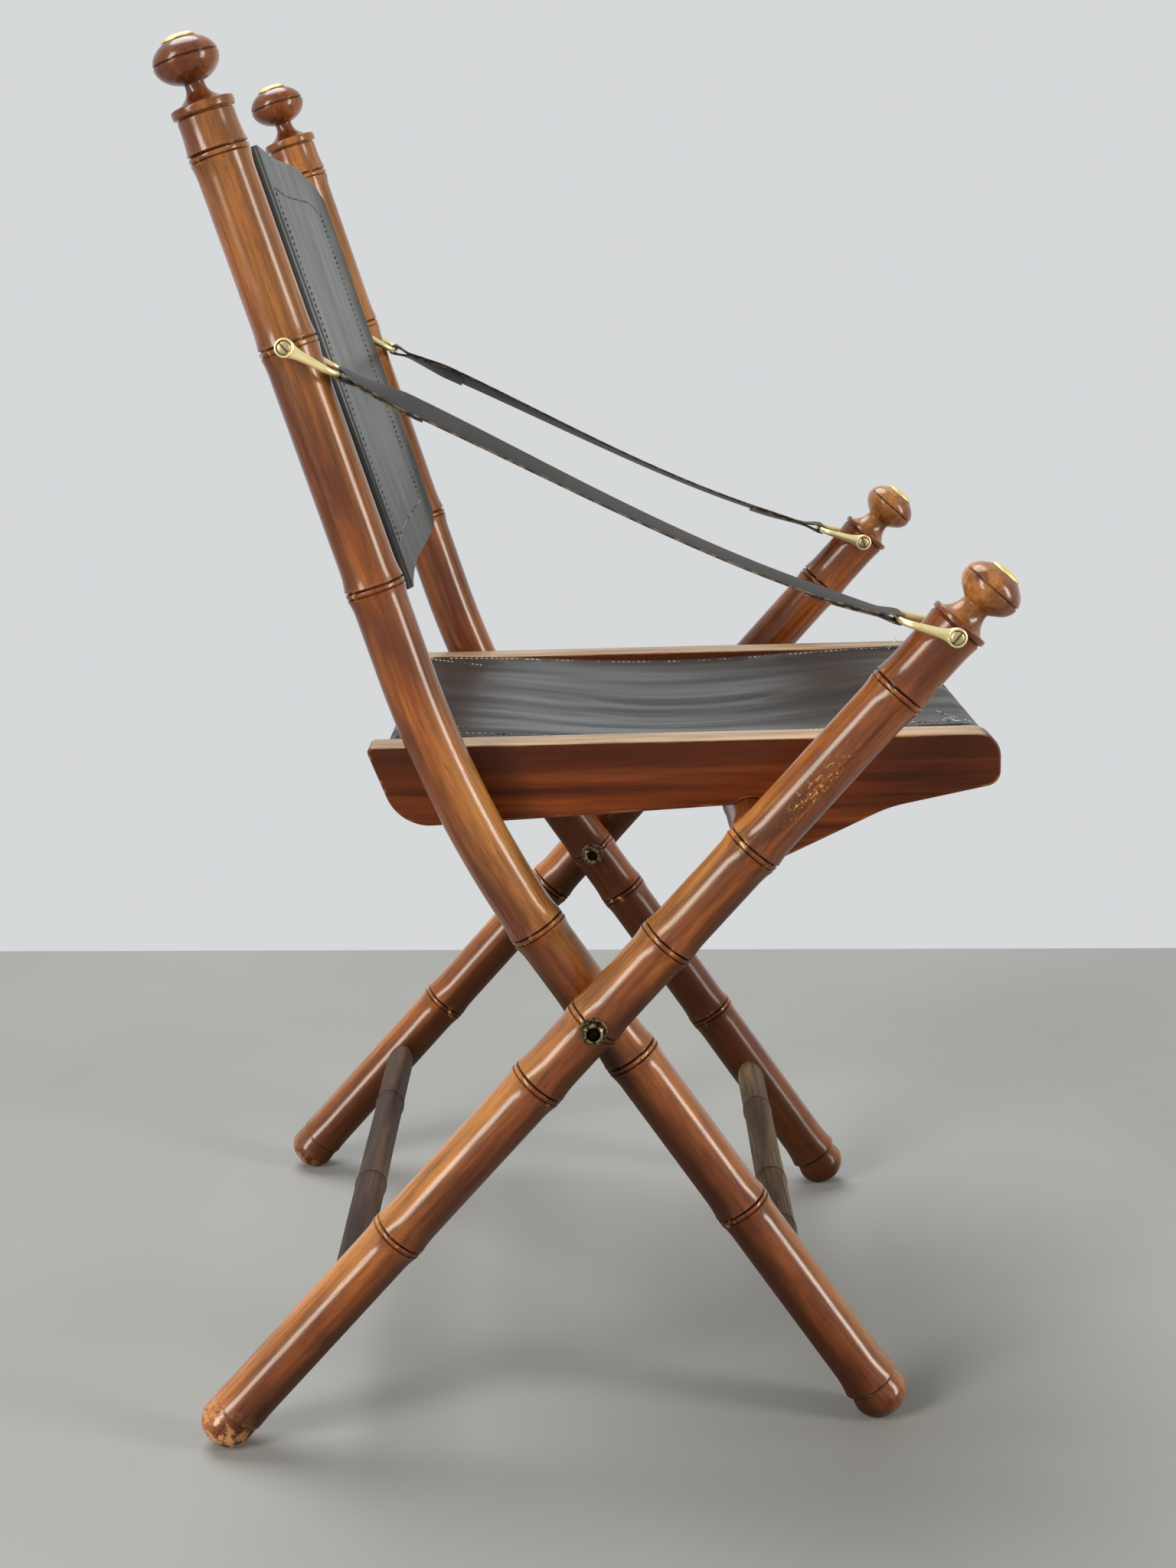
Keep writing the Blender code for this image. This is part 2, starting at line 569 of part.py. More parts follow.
def seat_frame():
    """Two boards, the rails between them and the leather, turning together on the hinge pins."""
    hinge = post_axis(SEAT_HINGE_STATION)[0]
    frame = bpy.data.objects.new("seat_hinge", None)
    bpy.context.scene.collection.objects.link(frame)
    frame.location = place(hinge, 0)
    frame.rotation_euler = (0, math.radians(-SEAT_TILT), 0)
    boards = {}
    for side, sign in SIDES:
        faces = sorted((sign * BOARD_INNER_Y, sign * BOARD_OUTER_Y))
        board = extruded(f"seat_board_{side}", board_outline(), *faces, parent=frame)
        boards[side] = finish(board, SEAT_WOOD)
    for name, point in zip(("seat_rear_rail", "seat_front_rail"), seat_rail_places()):
        tenon = SEAT_RAIL_TENON_DIAMETER / 2
        full = SEAT_RAIL_DIAMETER / 2
        shoulder = BOARD_INNER_Y - CLEARANCE
        tip = BOARD_INNER_Y + TENON_DEPTH
        profile = [(-tip, tenon), (-shoulder, tenon), (-shoulder, full), (shoulder, full), (shoulder, tenon),
                   (tip, tenon)]
        rail = turned(name, profile, SMALL_SIDES, location=(point[0], 0, point[1]), parent=frame,
                      rotation=(math.radians(-90), 0, 0))
        finish(rail, SEAT_WOOD)
        tilt = Matrix.Rotation(math.radians(SEAT_TILT), 2)
        world = tuple(Vector(hinge) + tilt @ Vector(point))
        for side, sign in SIDES:
            mortise(boards[side], world, sign, BOARD_INNER_Y, SEAT_RAIL_TENON_DIAMETER)
    leather = sheet("seat_sling", seat_leather(), LEATHER, parent=frame)
    finish(leather, BLACK_LEATHER)
    return boards


def back_leather():
    """Middle surface of the back leather: out of a slot, forwards past a shackle, over a roll, across."""
    radius = BACK_ROLL_RADIUS
    turn = np.linspace(0, math.pi / 2, ARC_STEPS)
    middle = np.linspace(BACK_WALL_Y - radius, 0, SHEET_STEPS)[1:]
    tip = BACK_EDGE_Y + BACK_SLOT_DEPTH - CLEARANCE
    y = np.concatenate([[tip, BACK_EDGE_Y], BACK_WALL_Y + radius - radius * np.sin(turn),
                        BACK_WALL_Y - radius + radius * np.cos(turn), middle])
    ahead = np.concatenate([np.full(2, -BACK_SLOT_SETBACK),
                            radius - BACK_SLOT_SETBACK - radius * np.cos(turn),
                            BACK_ROLL_AHEAD - radius + radius * np.sin(turn),
                            BACK_ROLL_AHEAD - BACK_SAG * (1 - (middle / (BACK_WALL_Y - radius)) ** 2)])
    y = np.concatenate([y, -y[-2::-1]])
    ahead = np.concatenate([ahead, ahead[-2::-1]])
    stations = np.linspace(BACK_LOW, BACK_HIGH, SHEET_STEPS)
    surface = np.empty((len(stations), len(y), 3))
    for row, station in enumerate(stations):
        (x, z), angle = post_axis(station)
        surface[row, :, 0] = x + ahead * math.sin(angle)
        surface[row, :, 1] = y
        surface[row, :, 2] = z - ahead * math.cos(angle)
    return surface


def back_slot(post, sign):
    """Slot along the inner side of a post, which holds one edge of the back leather."""
    (x, z), angle = post_axis((BACK_LOW + BACK_HIGH) / 2)
    half = (BACK_HIGH - BACK_LOW) / 2 + CLEARANCE
    wide = LEATHER / 2 + CLEARANCE
    outline = [(-wide, -half), (wide, -half), (wide, half), (-wide, half)]
    centre = (x - BACK_SLOT_SETBACK * math.sin(angle), 0, z + BACK_SLOT_SETBACK * math.cos(angle))
    depths = sorted((sign * (BACK_EDGE_Y - BACK_SLOT_DEPTH), sign * (BACK_EDGE_Y + BACK_SLOT_DEPTH)))
    slot = extruded(f"slot_{post.name}", outline, *depths, location=centre,
                    rotation=(0, math.radians(90) - angle, 0))
    combine(post, slot)


def shackle(name, point, y, rise, gap, frame):
    """Brass bow of round rod whose two eyes straddle a pole, turning on the screws."""
    origin = frame.location if frame else Vector((0, 0, 0))
    arm_y = gap + SHACKLE_EYE_THICKNESS / 2
    rod = SHACKLE_ROD / 2
    path = [(0, -arm_y, 0)]
    for step in range(ARC_STEPS + 1):
        swing = math.radians(90) * step / ARC_STEPS
        path.append((SHACKLE_LENGTH - SHACKLE_CORNER * (1 - math.sin(swing)),
                     -arm_y + SHACKLE_CORNER * (1 - math.cos(swing)), swing))
    path += [(x, -across, math.pi - heading) for x, across, heading in path[::-1]]
    around = np.linspace(0, 2 * math.pi, ROD_SIDES, endpoint=False)
    rings = []
    for x, across, heading in path:
        rings.append(np.stack([x - rod * np.cos(around) * math.sin(heading),
                               across + rod * np.cos(around) * math.cos(heading),
                               rod * np.sin(around)], 1))
    placing = {"location": place(point, y) - origin, "rotation": (0, -math.radians(rise), 0)}
    bow = lofted(name, rings, parent=frame, **placing)
    for sign in (-1, 1):
        base = place(point, y + sign * gap)
        rim = place(point, y + sign * (gap + SHACKLE_EYE_THICKNESS))
        eye = rod_between(f"{name}_eye_{sign}", base, rim, SHACKLE_EYE_DIAMETER / 2, TRIM_SIDES)
        combine(bow, eye, "UNION")
    reach = gap + 2 * SHACKLE_EYE_THICKNESS
    drill(bow, place(point, y - reach), place(point, y + reach), SCREW_DIAMETER / 2 + CLEARANCE)
    finish(bow, BRASS)
    angle = math.radians(rise)
    return point[0] + SHACKLE_LENGTH * math.cos(angle), point[1] + SHACKLE_LENGTH * math.sin(angle)


def shackle_screw(name, pole, point, y, sign, gap, frame):
    """Slotted round-head screw through one eye of a shackle into the pole."""
    origin = frame.location if frame else Vector((0, 0, 0))
    shank = SCREW_DIAMETER / 2
    head = SCREW_HEAD_DIAMETER / 2
    tip = POLE_RADIUS - SCREW_DEPTH
    seat = gap + SCREW_SEAT_UP
    profile = [(tip, shank), (seat, shank), (seat, head), (seat + SCREW_HEAD_HEIGHT / 2, head),
               (seat + SCREW_HEAD_HEIGHT, head * SCREW_CROWN_SHARE)]
    screw = turned(name, profile, TRIM_SIDES, location=place(point, y) - origin, parent=frame,
                   rotation=(math.radians(-90 * sign), 0, 0))
    low = seat + SCREW_HEAD_HEIGHT / 2
    faces = sorted((sign * low, sign * (seat + 2 * SCREW_HEAD_HEIGHT)))
    half = SCREW_SLOT / 2
    outline = [(-half, -2 * head), (half, -2 * head), (half, 2 * head), (-half, 2 * head)]
    slot = extruded(f"slot_{name}", outline, *faces, location=place(point, y),
                    rotation=(0, math.radians(SCREW_SLOT_TURN), 0))
    combine(screw, slot)
    finish(screw, BRASS)
    drill(pole, place(point, y + sign * (tip - CLEARANCE)), place(point, y + sign * seat), shank + CLEARANCE)


def arm_strap(side, sign, rear, front):
    """Doubled leather strap with a loop round the bow of a shackle at each end, sagging a little."""
    loop = SHACKLE_ROD / 2 + CLEARANCE + STRAP_THICKNESS / 2
    start = Vector((rear[0], sign * POST_Y, rear[1]))
    end = Vector((front[0], sign * ARM_Y, front[1]))
    length = math.hypot(front[0] - rear[0], front[1] - rear[1])
    slope = math.atan2(front[1] - rear[1], front[0] - rear[0])
    ends = -loop * np.cos(np.radians(np.linspace(*STRAP_LOOP_TURN, ARC_STEPS + 1)))
    run = np.linspace(2 * loop, length - 2 * loop, STRAP_STEPS + 1)
    places = np.concatenate([ends, run, length - ends[::-1]])
    rings = []
    for along in places:
        share = min(max(along / length, 0), 1)
        near_end = min(abs(along), abs(along - length))
        half = max(STRAP_THICKNESS / 2, math.sqrt(max(loop ** 2 - near_end ** 2, 0)))
        sag = STRAP_SAG * share ** 2 * (1 - share) * 27 / 4  # deepest two thirds of the way along
        x = start.x + along * math.cos(slope) + sag * math.sin(slope)
        z = start.z + along * math.sin(slope) - sag * math.cos(slope)
        y = start.y + (end.y - start.y) * share
        lift = Vector((-math.sin(slope), 0, math.cos(slope))) * half
        edge = Vector((0, STRAP_WIDTH / 2, 0))
        centre = Vector((x, y, z))
        rings.append([centre + lift + edge, centre - lift + edge,
                      centre - lift - edge, centre + lift - edge])
    strap = lofted(f"arm_strap_{side}", rings)
    for bow in (start, end):
        drill(strap, bow - Vector((0, STRAP_WIDTH, 0)), bow + Vector((0, STRAP_WIDTH, 0)),
              SHACKLE_ROD / 2 + CLEARANCE)
    finish(strap, BLACK_LEATHER)


for old in list(bpy.data.objects):
    bpy.data.objects.remove(old, do_unlink=True)

arm_frame = bpy.data.objects.new("arm_frame_pivot", None)
bpy.context.scene.collection.objects.link(arm_frame)
arm_frame.location = (PIVOT_X, 0, PIVOT_HEIGHT)

seat_boards = seat_frame()
hinge_point = post_axis(SEAT_HINGE_STATION)[0]
rest_rail_point = arm_axis(REST_RAIL_STATION)[0]
rear_stretcher_point = arm_axis(REAR_STRETCHER_STATION)[0]
front_stretcher_point = post_axis(FRONT_STRETCHER_STATION)[0]

for side, sign in SIDES:
    pole = arm_pole(side, sign, arm_frame)
    post = back_post(side, sign)

    arm_dowel = finial("arm", side, arm_axis, ARM_TOP, sign * ARM_Y, ARM_NECK_DIAMETER, arm_frame)
    drill(pole, *arm_dowel, FINIAL_TENON_DIAMETER / 2 + CLEARANCE)
    back_dowel = finial("back", side, post_axis, POST_TOP, sign * POST_Y, BACK_NECK_DIAMETER, None)
    drill(post, *back_dowel, FINIAL_TENON_DIAMETER / 2 + CLEARANCE)

    bolt_ends = pivot_hardware(side, sign)
    drill(pole, *bolt_ends, BOLT_DIAMETER / 2 + CLEARANCE)
    drill(post, *bolt_ends, BOLT_DIAMETER / 2 + CLEARANCE)

    mortise(pole, rest_rail_point, sign, ARM_Y - POLE_RADIUS, REST_RAIL_TENON_DIAMETER)
    mortise(pole, rear_stretcher_point, sign, ARM_Y - POLE_RADIUS, STRETCHER_TENON_DIAMETER)
    mortise(post, front_stretcher_point, sign, POST_Y - POLE_RADIUS, STRETCHER_TENON_DIAMETER)
    back_slot(post, sign)

    pin_low = place(hinge_point, sign * (BOARD_OUTER_Y - SEAT_PIN_DEPTH))
    pin_high = place(hinge_point, sign * (POST_Y - POLE_RADIUS + SEAT_PIN_DEPTH))
    beyond = Vector((0, sign * CLEARANCE, 0))
    finish(rod_between(f"seat_pin_{side}", pin_low, pin_high, SEAT_PIN_DIAMETER / 2), BRONZE)
    for piece in (post, seat_boards[side]):
        drill(piece, pin_low - beyond, pin_high + beyond, SEAT_PIN_DIAMETER / 2 + CLEARANCE)

    post_shackle_point = post_axis(POST_SHACKLE_STATION)[0]
    arm_shackle_point = arm_axis(ARM_SHACKLE_STATION)[0]
    post_y = sign * POST_Y
    arm_y = sign * ARM_Y
    rear_bow = shackle(f"back_shackle_{side}", post_shackle_point, post_y, POST_SHACKLE_RISE,
                       POST_SHACKLE_GAP, None)
    front_bow = shackle(f"arm_shackle_{side}", arm_shackle_point, arm_y, ARM_SHACKLE_RISE,
                        ARM_SHACKLE_GAP, arm_frame)
    for where, way in (("outer", sign), ("inner", -sign)):
        shackle_screw(f"back_shackle_screw_{where}_{side}", post, post_shackle_point, post_y, way,
                      POST_SHACKLE_GAP, None)
        shackle_screw(f"arm_shackle_screw_{where}_{side}", pole, arm_shackle_point, arm_y, way,
                      ARM_SHACKLE_GAP, arm_frame)
    arm_strap(side, sign, rear_bow, front_bow)

cross_member("seat_rest_rail", VARNISHED_WOOD, rest_rail_point, ARM_Y - POLE_RADIUS, REST_RAIL_DIAMETER,
             REST_RAIL_TENON_DIAMETER, REST_RAIL_TAPER, arm_frame)
cross_member("rear_stretcher", BARE_WOOD, rear_stretcher_point, ARM_Y - POLE_RADIUS, STRETCHER_DIAMETER,
             STRETCHER_TENON_DIAMETER, STRETCHER_TAPER, arm_frame)
cross_member("front_stretcher", BARE_WOOD, front_stretcher_point, POST_Y - POLE_RADIUS, STRETCHER_DIAMETER,
             STRETCHER_TENON_DIAMETER, STRETCHER_TAPER)
finish(sheet("back_sling", back_leather(), LEATHER), BLACK_LEATHER)
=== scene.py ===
"""Looks of a folding safari chair: turned poles, a hooked seat frame, leather seat, back and arm straps.

Metres. +X is the front of the chair, +Y its left side, +Z is up and the floor is at Z = 0.
Stations are distances along a pole's axis from the pivot bolt, positive upwards.
"""
import json
import math

import bmesh
import bpy
import numpy as np
from mathutils import Matrix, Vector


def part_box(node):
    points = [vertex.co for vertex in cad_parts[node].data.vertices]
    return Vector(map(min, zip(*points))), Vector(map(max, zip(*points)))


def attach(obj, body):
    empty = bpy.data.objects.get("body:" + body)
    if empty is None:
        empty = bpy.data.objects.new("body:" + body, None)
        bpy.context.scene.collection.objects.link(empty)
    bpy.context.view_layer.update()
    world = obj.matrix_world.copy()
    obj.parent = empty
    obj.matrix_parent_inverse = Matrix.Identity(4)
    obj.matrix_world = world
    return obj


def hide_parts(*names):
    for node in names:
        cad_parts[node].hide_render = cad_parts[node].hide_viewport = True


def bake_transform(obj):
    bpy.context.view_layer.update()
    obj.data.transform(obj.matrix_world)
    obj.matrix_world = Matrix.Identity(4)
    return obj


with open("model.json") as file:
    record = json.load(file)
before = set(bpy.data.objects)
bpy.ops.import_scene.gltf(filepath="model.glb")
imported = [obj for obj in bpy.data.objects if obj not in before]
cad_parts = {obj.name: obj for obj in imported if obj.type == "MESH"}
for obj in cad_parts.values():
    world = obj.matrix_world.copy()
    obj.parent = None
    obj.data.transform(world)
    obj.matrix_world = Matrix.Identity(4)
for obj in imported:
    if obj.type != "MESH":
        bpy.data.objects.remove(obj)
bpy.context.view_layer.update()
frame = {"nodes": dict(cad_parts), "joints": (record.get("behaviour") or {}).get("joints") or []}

# Back posts and arm poles
# Four hardwood poles turned to look like bamboo, stained and varnished, and crossed in pairs on bolts.
# The posts are steamed to a bend above the crossing. Each foot is rounded, and worn flat underneath.

SIDES = (("right", -1), ("left", 1))
POLE_RADIUS = 0.01875
ARM_RISE = 48.7             # degrees above the floor
POST_LEAN_LOW = 35.0        # degrees from upright, below the bend
POST_LEAN_HIGH = 18.4
BEND_START = 0.048
BEND_RADIUS = 0.75
ARM_TOP = 0.361
POST_TOP = 0.648
ARM_NODES = (-0.203, -0.057, 0.0745, 0.160, 0.300)
POST_NODES = (-0.182, -0.046, 0.0, 0.066, 0.324, 0.489, 0.616)
LIP_RISE = 0.0017
FLARE_ABOVE = 0.0170        # length of a node's flare above its upper groove
FLARE_BELOW = 0.0130
LOW_NODES = (0.0, 0.489)     # nodes that other pieces sit close to
LOW_NODE_SHARE = 0.70
BEAD_HALF = 0.0021          # half the height of the bead between a node's two grooves
BEAD_RISE = 0.0014
NODE_GROOVE_DEPTH = 0.0019
NODE_GROOVE_HALF = 0.0007
LOWER_GROOVE_DEPTH = 0.0011
LOWER_GROOVE_HALF = 0.0005
FLANGE_RISE = 0.0020
POST_FLANGE_HEIGHT = 0.0060
ARM_FLANGE_HEIGHT = 0.0045
FOOT_ROUND = 0.0140
FOOT_WEAR = 0.0010
FOOT_GROOVE_UP = 0.0270
FOOT_GROOVE_HALF = 0.0009
FOOT_GROOVE_DEPTH = 0.0008
FOOT_LIP = 0.0021
FOOT_FLARE = 0.0200
ARM_FOOT_SHARE = 0.35       # of a post's foot lip, on an arm pole
BOOT_SWELL = 0.0011         # of the foot below its groove
BOOT_SWELL_BELOW = 0.0115
BOOT_SWELL_HALF = 0.0060
BOOT_PINCH = 0.0016         # drawing in of the foot under its groove
BOOT_PINCH_REACH = 0.0035
COLLAR_GROOVE_HALF = 0.0007
COLLAR_GROOVE_DEPTH = 0.0010
ARM_RIM_RISE = 0.0012       # of the ring under an arm pole's flange
POLE_SIDES = 60
PLAIN_STEP = 0.0080
GRAIN_SHIFT = 0.37          # moves the grain's pattern on from one piece to the next
WARM_SHEEN = (1.0, 0.80, 0.60, 1.0)     # tint of what the varnish reflects
SCUFF_STATION = 0.222       # of the scratches on the right arm pole
SCUFF_HALF = 0.034
SCUFF_TURN = 268.0          # degrees round the pole
SCUFF_SPREAD = 0.42
SCRAPE_REACH = 0.026        # of the scraped varnish above an arm pole's foot
ARM_PAINTED_SHADE = {"right": 0.032, "left": 0.512}   # painted shade: how much darker the undersides are painted low on the legs, most on the far ones
POST_PAINTED_SHADE = {"right": 0.224, "left": 1.28}
PAINTED_SHADE_TOP = 0.14            # station where the painted shade starts
PAINTED_SHADE_FADE = 0.12           # length over which it comes in
# Stations where the painted light and shade is lighter or darker than elsewhere, by how much, and how far
# each place spreads
ARM_PALE = {"right": ((-0.13, 0.08, 0.10), (-0.34, -0.05, 0.10), (0.25, 0.06, 0.14)),
            "left": ((0.26, -0.04, 0.14),)}
ARM_EVEN = 0.8              # how much less the painted light and shade differs round an arm pole near its top
EVEN_START = 0.13
EVEN_FADE = 0.10
POST_PALE = {"right": ((0.13, 0.26, 0.09), (0.55, 0.26, 0.14)), "left": ((0.58, 0.24, 0.14),)}

joints = {joint["name"]: joint for joint in frame["joints"]}
pivot_x, _, pivot_z = joints["fold"]["pos_m"]
arm_y = sum(corner.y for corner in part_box("arm_pole_left")) / 2
post_y = sum(corner.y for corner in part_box("back_post_left")) / 2


def along_arm(station):
    """Axis of an arm pole, a straight line that rises at one angle from the pivot: x, z and the angle."""
    angle = np.full_like(station, math.radians(ARM_RISE))
    return pivot_x + station * np.cos(angle), pivot_z + station * np.sin(angle), angle


def along_post(station):
    """Axis of a back post: straight up to the bend, an arc that turns it upright, then straight again."""
    low = math.radians(90 + POST_LEAN_LOW)
    whole_turn = math.radians(POST_LEAN_LOW - POST_LEAN_HIGH)
    before = np.minimum(station, BEND_START)
    turn = np.clip((station - BEND_START) / BEND_RADIUS, 0, whole_turn)
    after = np.maximum(station - BEND_START - BEND_RADIUS * whole_turn, 0)
    chord = 2 * BEND_RADIUS * np.sin(turn / 2)
    x = pivot_x + before * math.cos(low) + chord * np.cos(low - turn / 2) + after * np.cos(low - turn)
    z = pivot_z + before * math.sin(low) + chord * np.sin(low - turn / 2) + after * np.sin(low - turn)
    return x, z, low - turn


def node_rise(distance):
    """Rise of a bamboo-like node by distance above its middle: a power curve flares out to a lip from each
    side, an arch between the lips is the bead, and two flat-bottomed bell curves cut the grooves by it."""
    above = LIP_RISE * np.clip(1 - (distance - BEAD_HALF) / FLARE_ABOVE, 0, 1) ** 2.4
    below = LIP_RISE * np.clip(1 + (distance + BEAD_HALF) / FLARE_BELOW, 0, 1) ** 2.2
    bead = BEAD_RISE * (0.65 + 0.35 * (1 - (distance / BEAD_HALF) ** 2))
    rise = np.where(distance > BEAD_HALF, above, np.where(distance < -BEAD_HALF, below, bead))
    upper = NODE_GROOVE_DEPTH * np.exp(-((distance - BEAD_HALF) / NODE_GROOVE_HALF) ** 4)
    lower = LOWER_GROOVE_DEPTH * np.exp(-((distance + BEAD_HALF) / LOWER_GROOVE_HALF) ** 4)
    return rise - upper - lower


def node_groove(distance):
    """How deep in a node's grooves a distance above its middle is, from 0 to 1."""
    upper = np.exp(-((distance - BEAD_HALF) / (NODE_GROOVE_HALF * 1.1)) ** 4)
    return upper + 0.35 * np.exp(-((distance + BEAD_HALF) / (LOWER_GROOVE_HALF * 1.2)) ** 4)


def foot_end(rise):
    """Station of a pole's lower end, so that its worn foot stands on the floor."""
    lowest = FOOT_ROUND + (POLE_RADIUS - FOOT_ROUND) * math.cos(math.radians(rise)) - FOOT_WEAR
    return (lowest - pivot_z) / math.sin(math.radians(rise)) - FOOT_ROUND


def piece(name, vertices, faces, marks=None, sharp=42):
    """Mesh object at the origin, with named values on its points. Points that meet are merged, and the faces
    are turned outwards. Edges sharper than an angle in degrees stay crisp."""
    mesh = bpy.data.meshes.new(name)
    mesh.from_pydata(vertices.reshape(-1, 3).tolist(), [], faces)
    for mark, values in (marks or {}).items():
        if values.shape[-1] == 3 and values.size == vertices.size:
            mesh.attributes.new(mark, "FLOAT_VECTOR", "POINT").data.foreach_set("vector", values.ravel())
        else:
            mesh.attributes.new(mark, "FLOAT", "POINT").data.foreach_set("value", values.ravel())
    bm = bmesh.new()
    bm.from_mesh(mesh)
    bmesh.ops.remove_doubles(bm, verts=bm.verts, dist=1e-6)
    bmesh.ops.recalc_face_normals(bm, faces=bm.faces)
    bm.to_mesh(mesh)
    bm.free()
    mesh.shade_smooth()
    mesh.set_sharp_from_angle(angle=math.radians(sharp))
    body = bpy.data.objects.new(name, mesh)
    bpy.context.scene.collection.objects.link(body)
    return body


def grid_faces(rows, columns, wrap):
    """Quads between neighbours on a grid of points, with the last column joined to the first if it wraps."""
    row, column = np.meshgrid(np.arange(rows - 1), np.arange(columns if wrap else columns - 1), indexing="ij")
    after = (column + 1) % columns
    corners = [row * columns + column, row * columns + after,
               (row + 1) * columns + after, (row + 1) * columns + column]
    return np.stack(corners, -1).reshape(-1, 4)


def surface(name, points, wrap=False, marks=None, sharp=42):
    """Piece over a grid of points."""
    return piece(name, points, grid_faces(*points.shape[:2], wrap).tolist(), marks, sharp)


def fit(body, look, slot, carrier, *nodes):
    """Gives a piece its finish, hides the solids that it stands for, and sets it on a body to ride on if one
    is named.
    """
    body.data.materials.append(look)
    if nodes:
        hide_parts(*nodes)
    if carrier:
        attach(body, carrier)
    return body


def pole_stations(end, top, flange, nodes):
    """Stations of a pole's rings: even steps, closer round the nodes, the foot and the flange."""
    close = np.concatenate([np.arange(-0.0033, 0.0036, 0.00025), np.arange(-0.0150, 0.0190, 0.0010)])
    around_nodes = (np.array(nodes)[:, None] + close).ravel()
    foot = end + FOOT_ROUND * (1 - np.cos(np.linspace(0, math.pi / 2, 10)))
    foot_groove = end + FOOT_GROOVE_UP + np.arange(-0.0130, FOOT_FLARE, 0.0005)
    collar = top - flange / 2 * (1 - np.cos(np.linspace(0, math.pi, 18)))
    under = top - flange - np.arange(0.0002, FLARE_ABOVE, 0.0005)
    plain = np.arange(end + FOOT_ROUND, top - flange, PLAIN_STEP)
    return np.unique(np.round(np.concatenate([around_nodes, foot, foot_groove, collar, under, plain]), 6))


def repeat_ends(rows):
    """Rows with the first and the last one given twice, for a surface that closes over its ends."""
    return np.concatenate([rows[:1], rows, rows[-1:]])


def turned_pole(name, axis, rise, top, flange, nodes, y, rim_rise, foot_lip, pivot_node, scuffs, painted_shade_and_tarnish,
                even, pale, shift):
    """Pole: a circle of varying radius carried along its axis. The radius is the plain one, plus the rise of
    the nodes, the flange, the ring under it and the foot's lip, less the foot's rounding and thin grooves."""
    end = foot_end(rise)
    station = pole_stations(end, top, flange, nodes + ((0.0,) if pivot_node else ()))[:, None]
    around = np.linspace(0, 2 * math.pi, POLE_SIDES, endpoint=False)[None, :]
    distance = station[..., None] - np.array(nodes)
    uneven = 1 + 0.10 * np.sin(2 * around + 40 * station) + 0.06 * np.sin(5 * around - 31 * station)
    share = np.where(np.isin(nodes, LOW_NODES), LOW_NODE_SHARE, 1.0)
    radius = POLE_RADIUS + (node_rise(distance) * share).sum(-1) * uneven
    groove = node_groove(distance).sum(-1) + 0 * around
    lip = np.exp(-(distance / (BEAD_HALF * 1.4)) ** 2).sum(-1) + 0 * around
    if pivot_node:
        flat = np.clip((np.abs(np.cos(around)) - 0.22) / 0.25, 0, 1)
        flat = flat * flat * (3 - 2 * flat)
        radius = radius + node_rise(station) * flat
        groove = groove + flat * node_groove(station)
    inset = np.clip(FOOT_ROUND - (station - end), 0, FOOT_ROUND)
    radius = radius - (FOOT_ROUND - np.sqrt(FOOT_ROUND ** 2 - inset ** 2))
    from_foot = station - end - FOOT_GROOVE_UP
    foot_groove = foot_lip * np.exp(-((from_foot + 0.0004) / FOOT_GROOVE_HALF) ** 4)
    flare = np.where(from_foot > 0, np.clip(1 - from_foot / FOOT_FLARE, 0, 1) ** 2.2, 0)
    swell = BOOT_SWELL * np.exp(-((from_foot + BOOT_SWELL_BELOW) / BOOT_SWELL_HALF) ** 2)
    boot = swell - BOOT_PINCH * np.exp(-np.abs(from_foot) / BOOT_PINCH_REACH)
    radius = radius + foot_lip * np.where(from_foot > 0, FOOT_LIP * flare, boot)
    radius = radius - FOOT_GROOVE_DEPTH * foot_groove
    across_flange = np.clip(np.abs(station - top + flange / 2) / (flange / 2), 0, 1)
    radius = radius + FLANGE_RISE * (1 - across_flange ** 5) ** 0.4
    below = top - flange - station
    collar_groove = np.exp(-((below - COLLAR_GROOVE_HALF) / COLLAR_GROOVE_HALF) ** 4)
    ring = np.where(below > 0, np.clip(1 - below / FLARE_ABOVE, 0, 1) ** 2.4, 0)
    radius = radius + rim_rise * ring - COLLAR_GROOVE_DEPTH * collar_groove
    groove = np.clip(groove + foot_groove + 0.6 * collar_groove, 0, 1)
    radius = np.concatenate([0 * radius[:1], radius, 0 * radius[-1:]])
    station, groove, lip = (repeat_ends(rows) for rows in (station, groove, lip))
    x, z, angle = axis(station)
    points = np.stack([x + radius * np.cos(around) * np.sin(angle), y + radius * np.sin(around),
                       np.maximum(z - radius * np.cos(around) * np.cos(angle), 0)], -1)
    grain = np.stack([radius * np.cos(around) + shift, radius * np.sin(around), station + 0 * around], -1)
    scuff = np.zeros_like(radius)
    if scuffs:
        facing = np.exp(-((around - math.radians(SCUFF_TURN)) / SCUFF_SPREAD) ** 2)
        scuff = facing * np.exp(-((station - SCUFF_STATION) / SCUFF_HALF) ** 2)
    base = np.exp(-(station - end) / SCRAPE_REACH) * (foot_lip < 0.5) * (1 - painted_shade_and_tarnish) + 0 * around
    # Painted light and shade: the value below is high on each pole's upper side and low underneath, with
    # paler and darker patches by station and more painted shade low on the legs, and the wood's colour
    # follows it
    evened = even * np.clip((station - EVEN_START) / EVEN_FADE, 0, 1)
    painted_lighting = 0.5 - 0.5 * np.cos(around) * np.cos(angle) * (1 - evened)
    paler = sum(by * np.exp(-((station - at) / spread) ** 2) for at, by, spread in pale)
    painted_lighting = painted_lighting + paler - painted_shade_and_tarnish * (1 - painted_lighting) * np.clip((PAINTED_SHADE_TOP - station) / PAINTED_SHADE_FADE, 0, 1)
    marks = {"grain": grain, "groove": groove, "lip": lip, "scuff": scuff, "base": base, "painted_lighting": painted_lighting}
    return surface(name, points, wrap=True, marks=marks)


def srgb(red, green, blue):
    """Colour for a socket from its values out of 255 on screen."""
    screen = np.array([red, green, blue]) / 255
    linear = np.where(screen > 0.04045, ((screen + 0.055) / 1.055) ** 2.4, screen / 12.92)
    return (*linear.tolist(), 1.0)


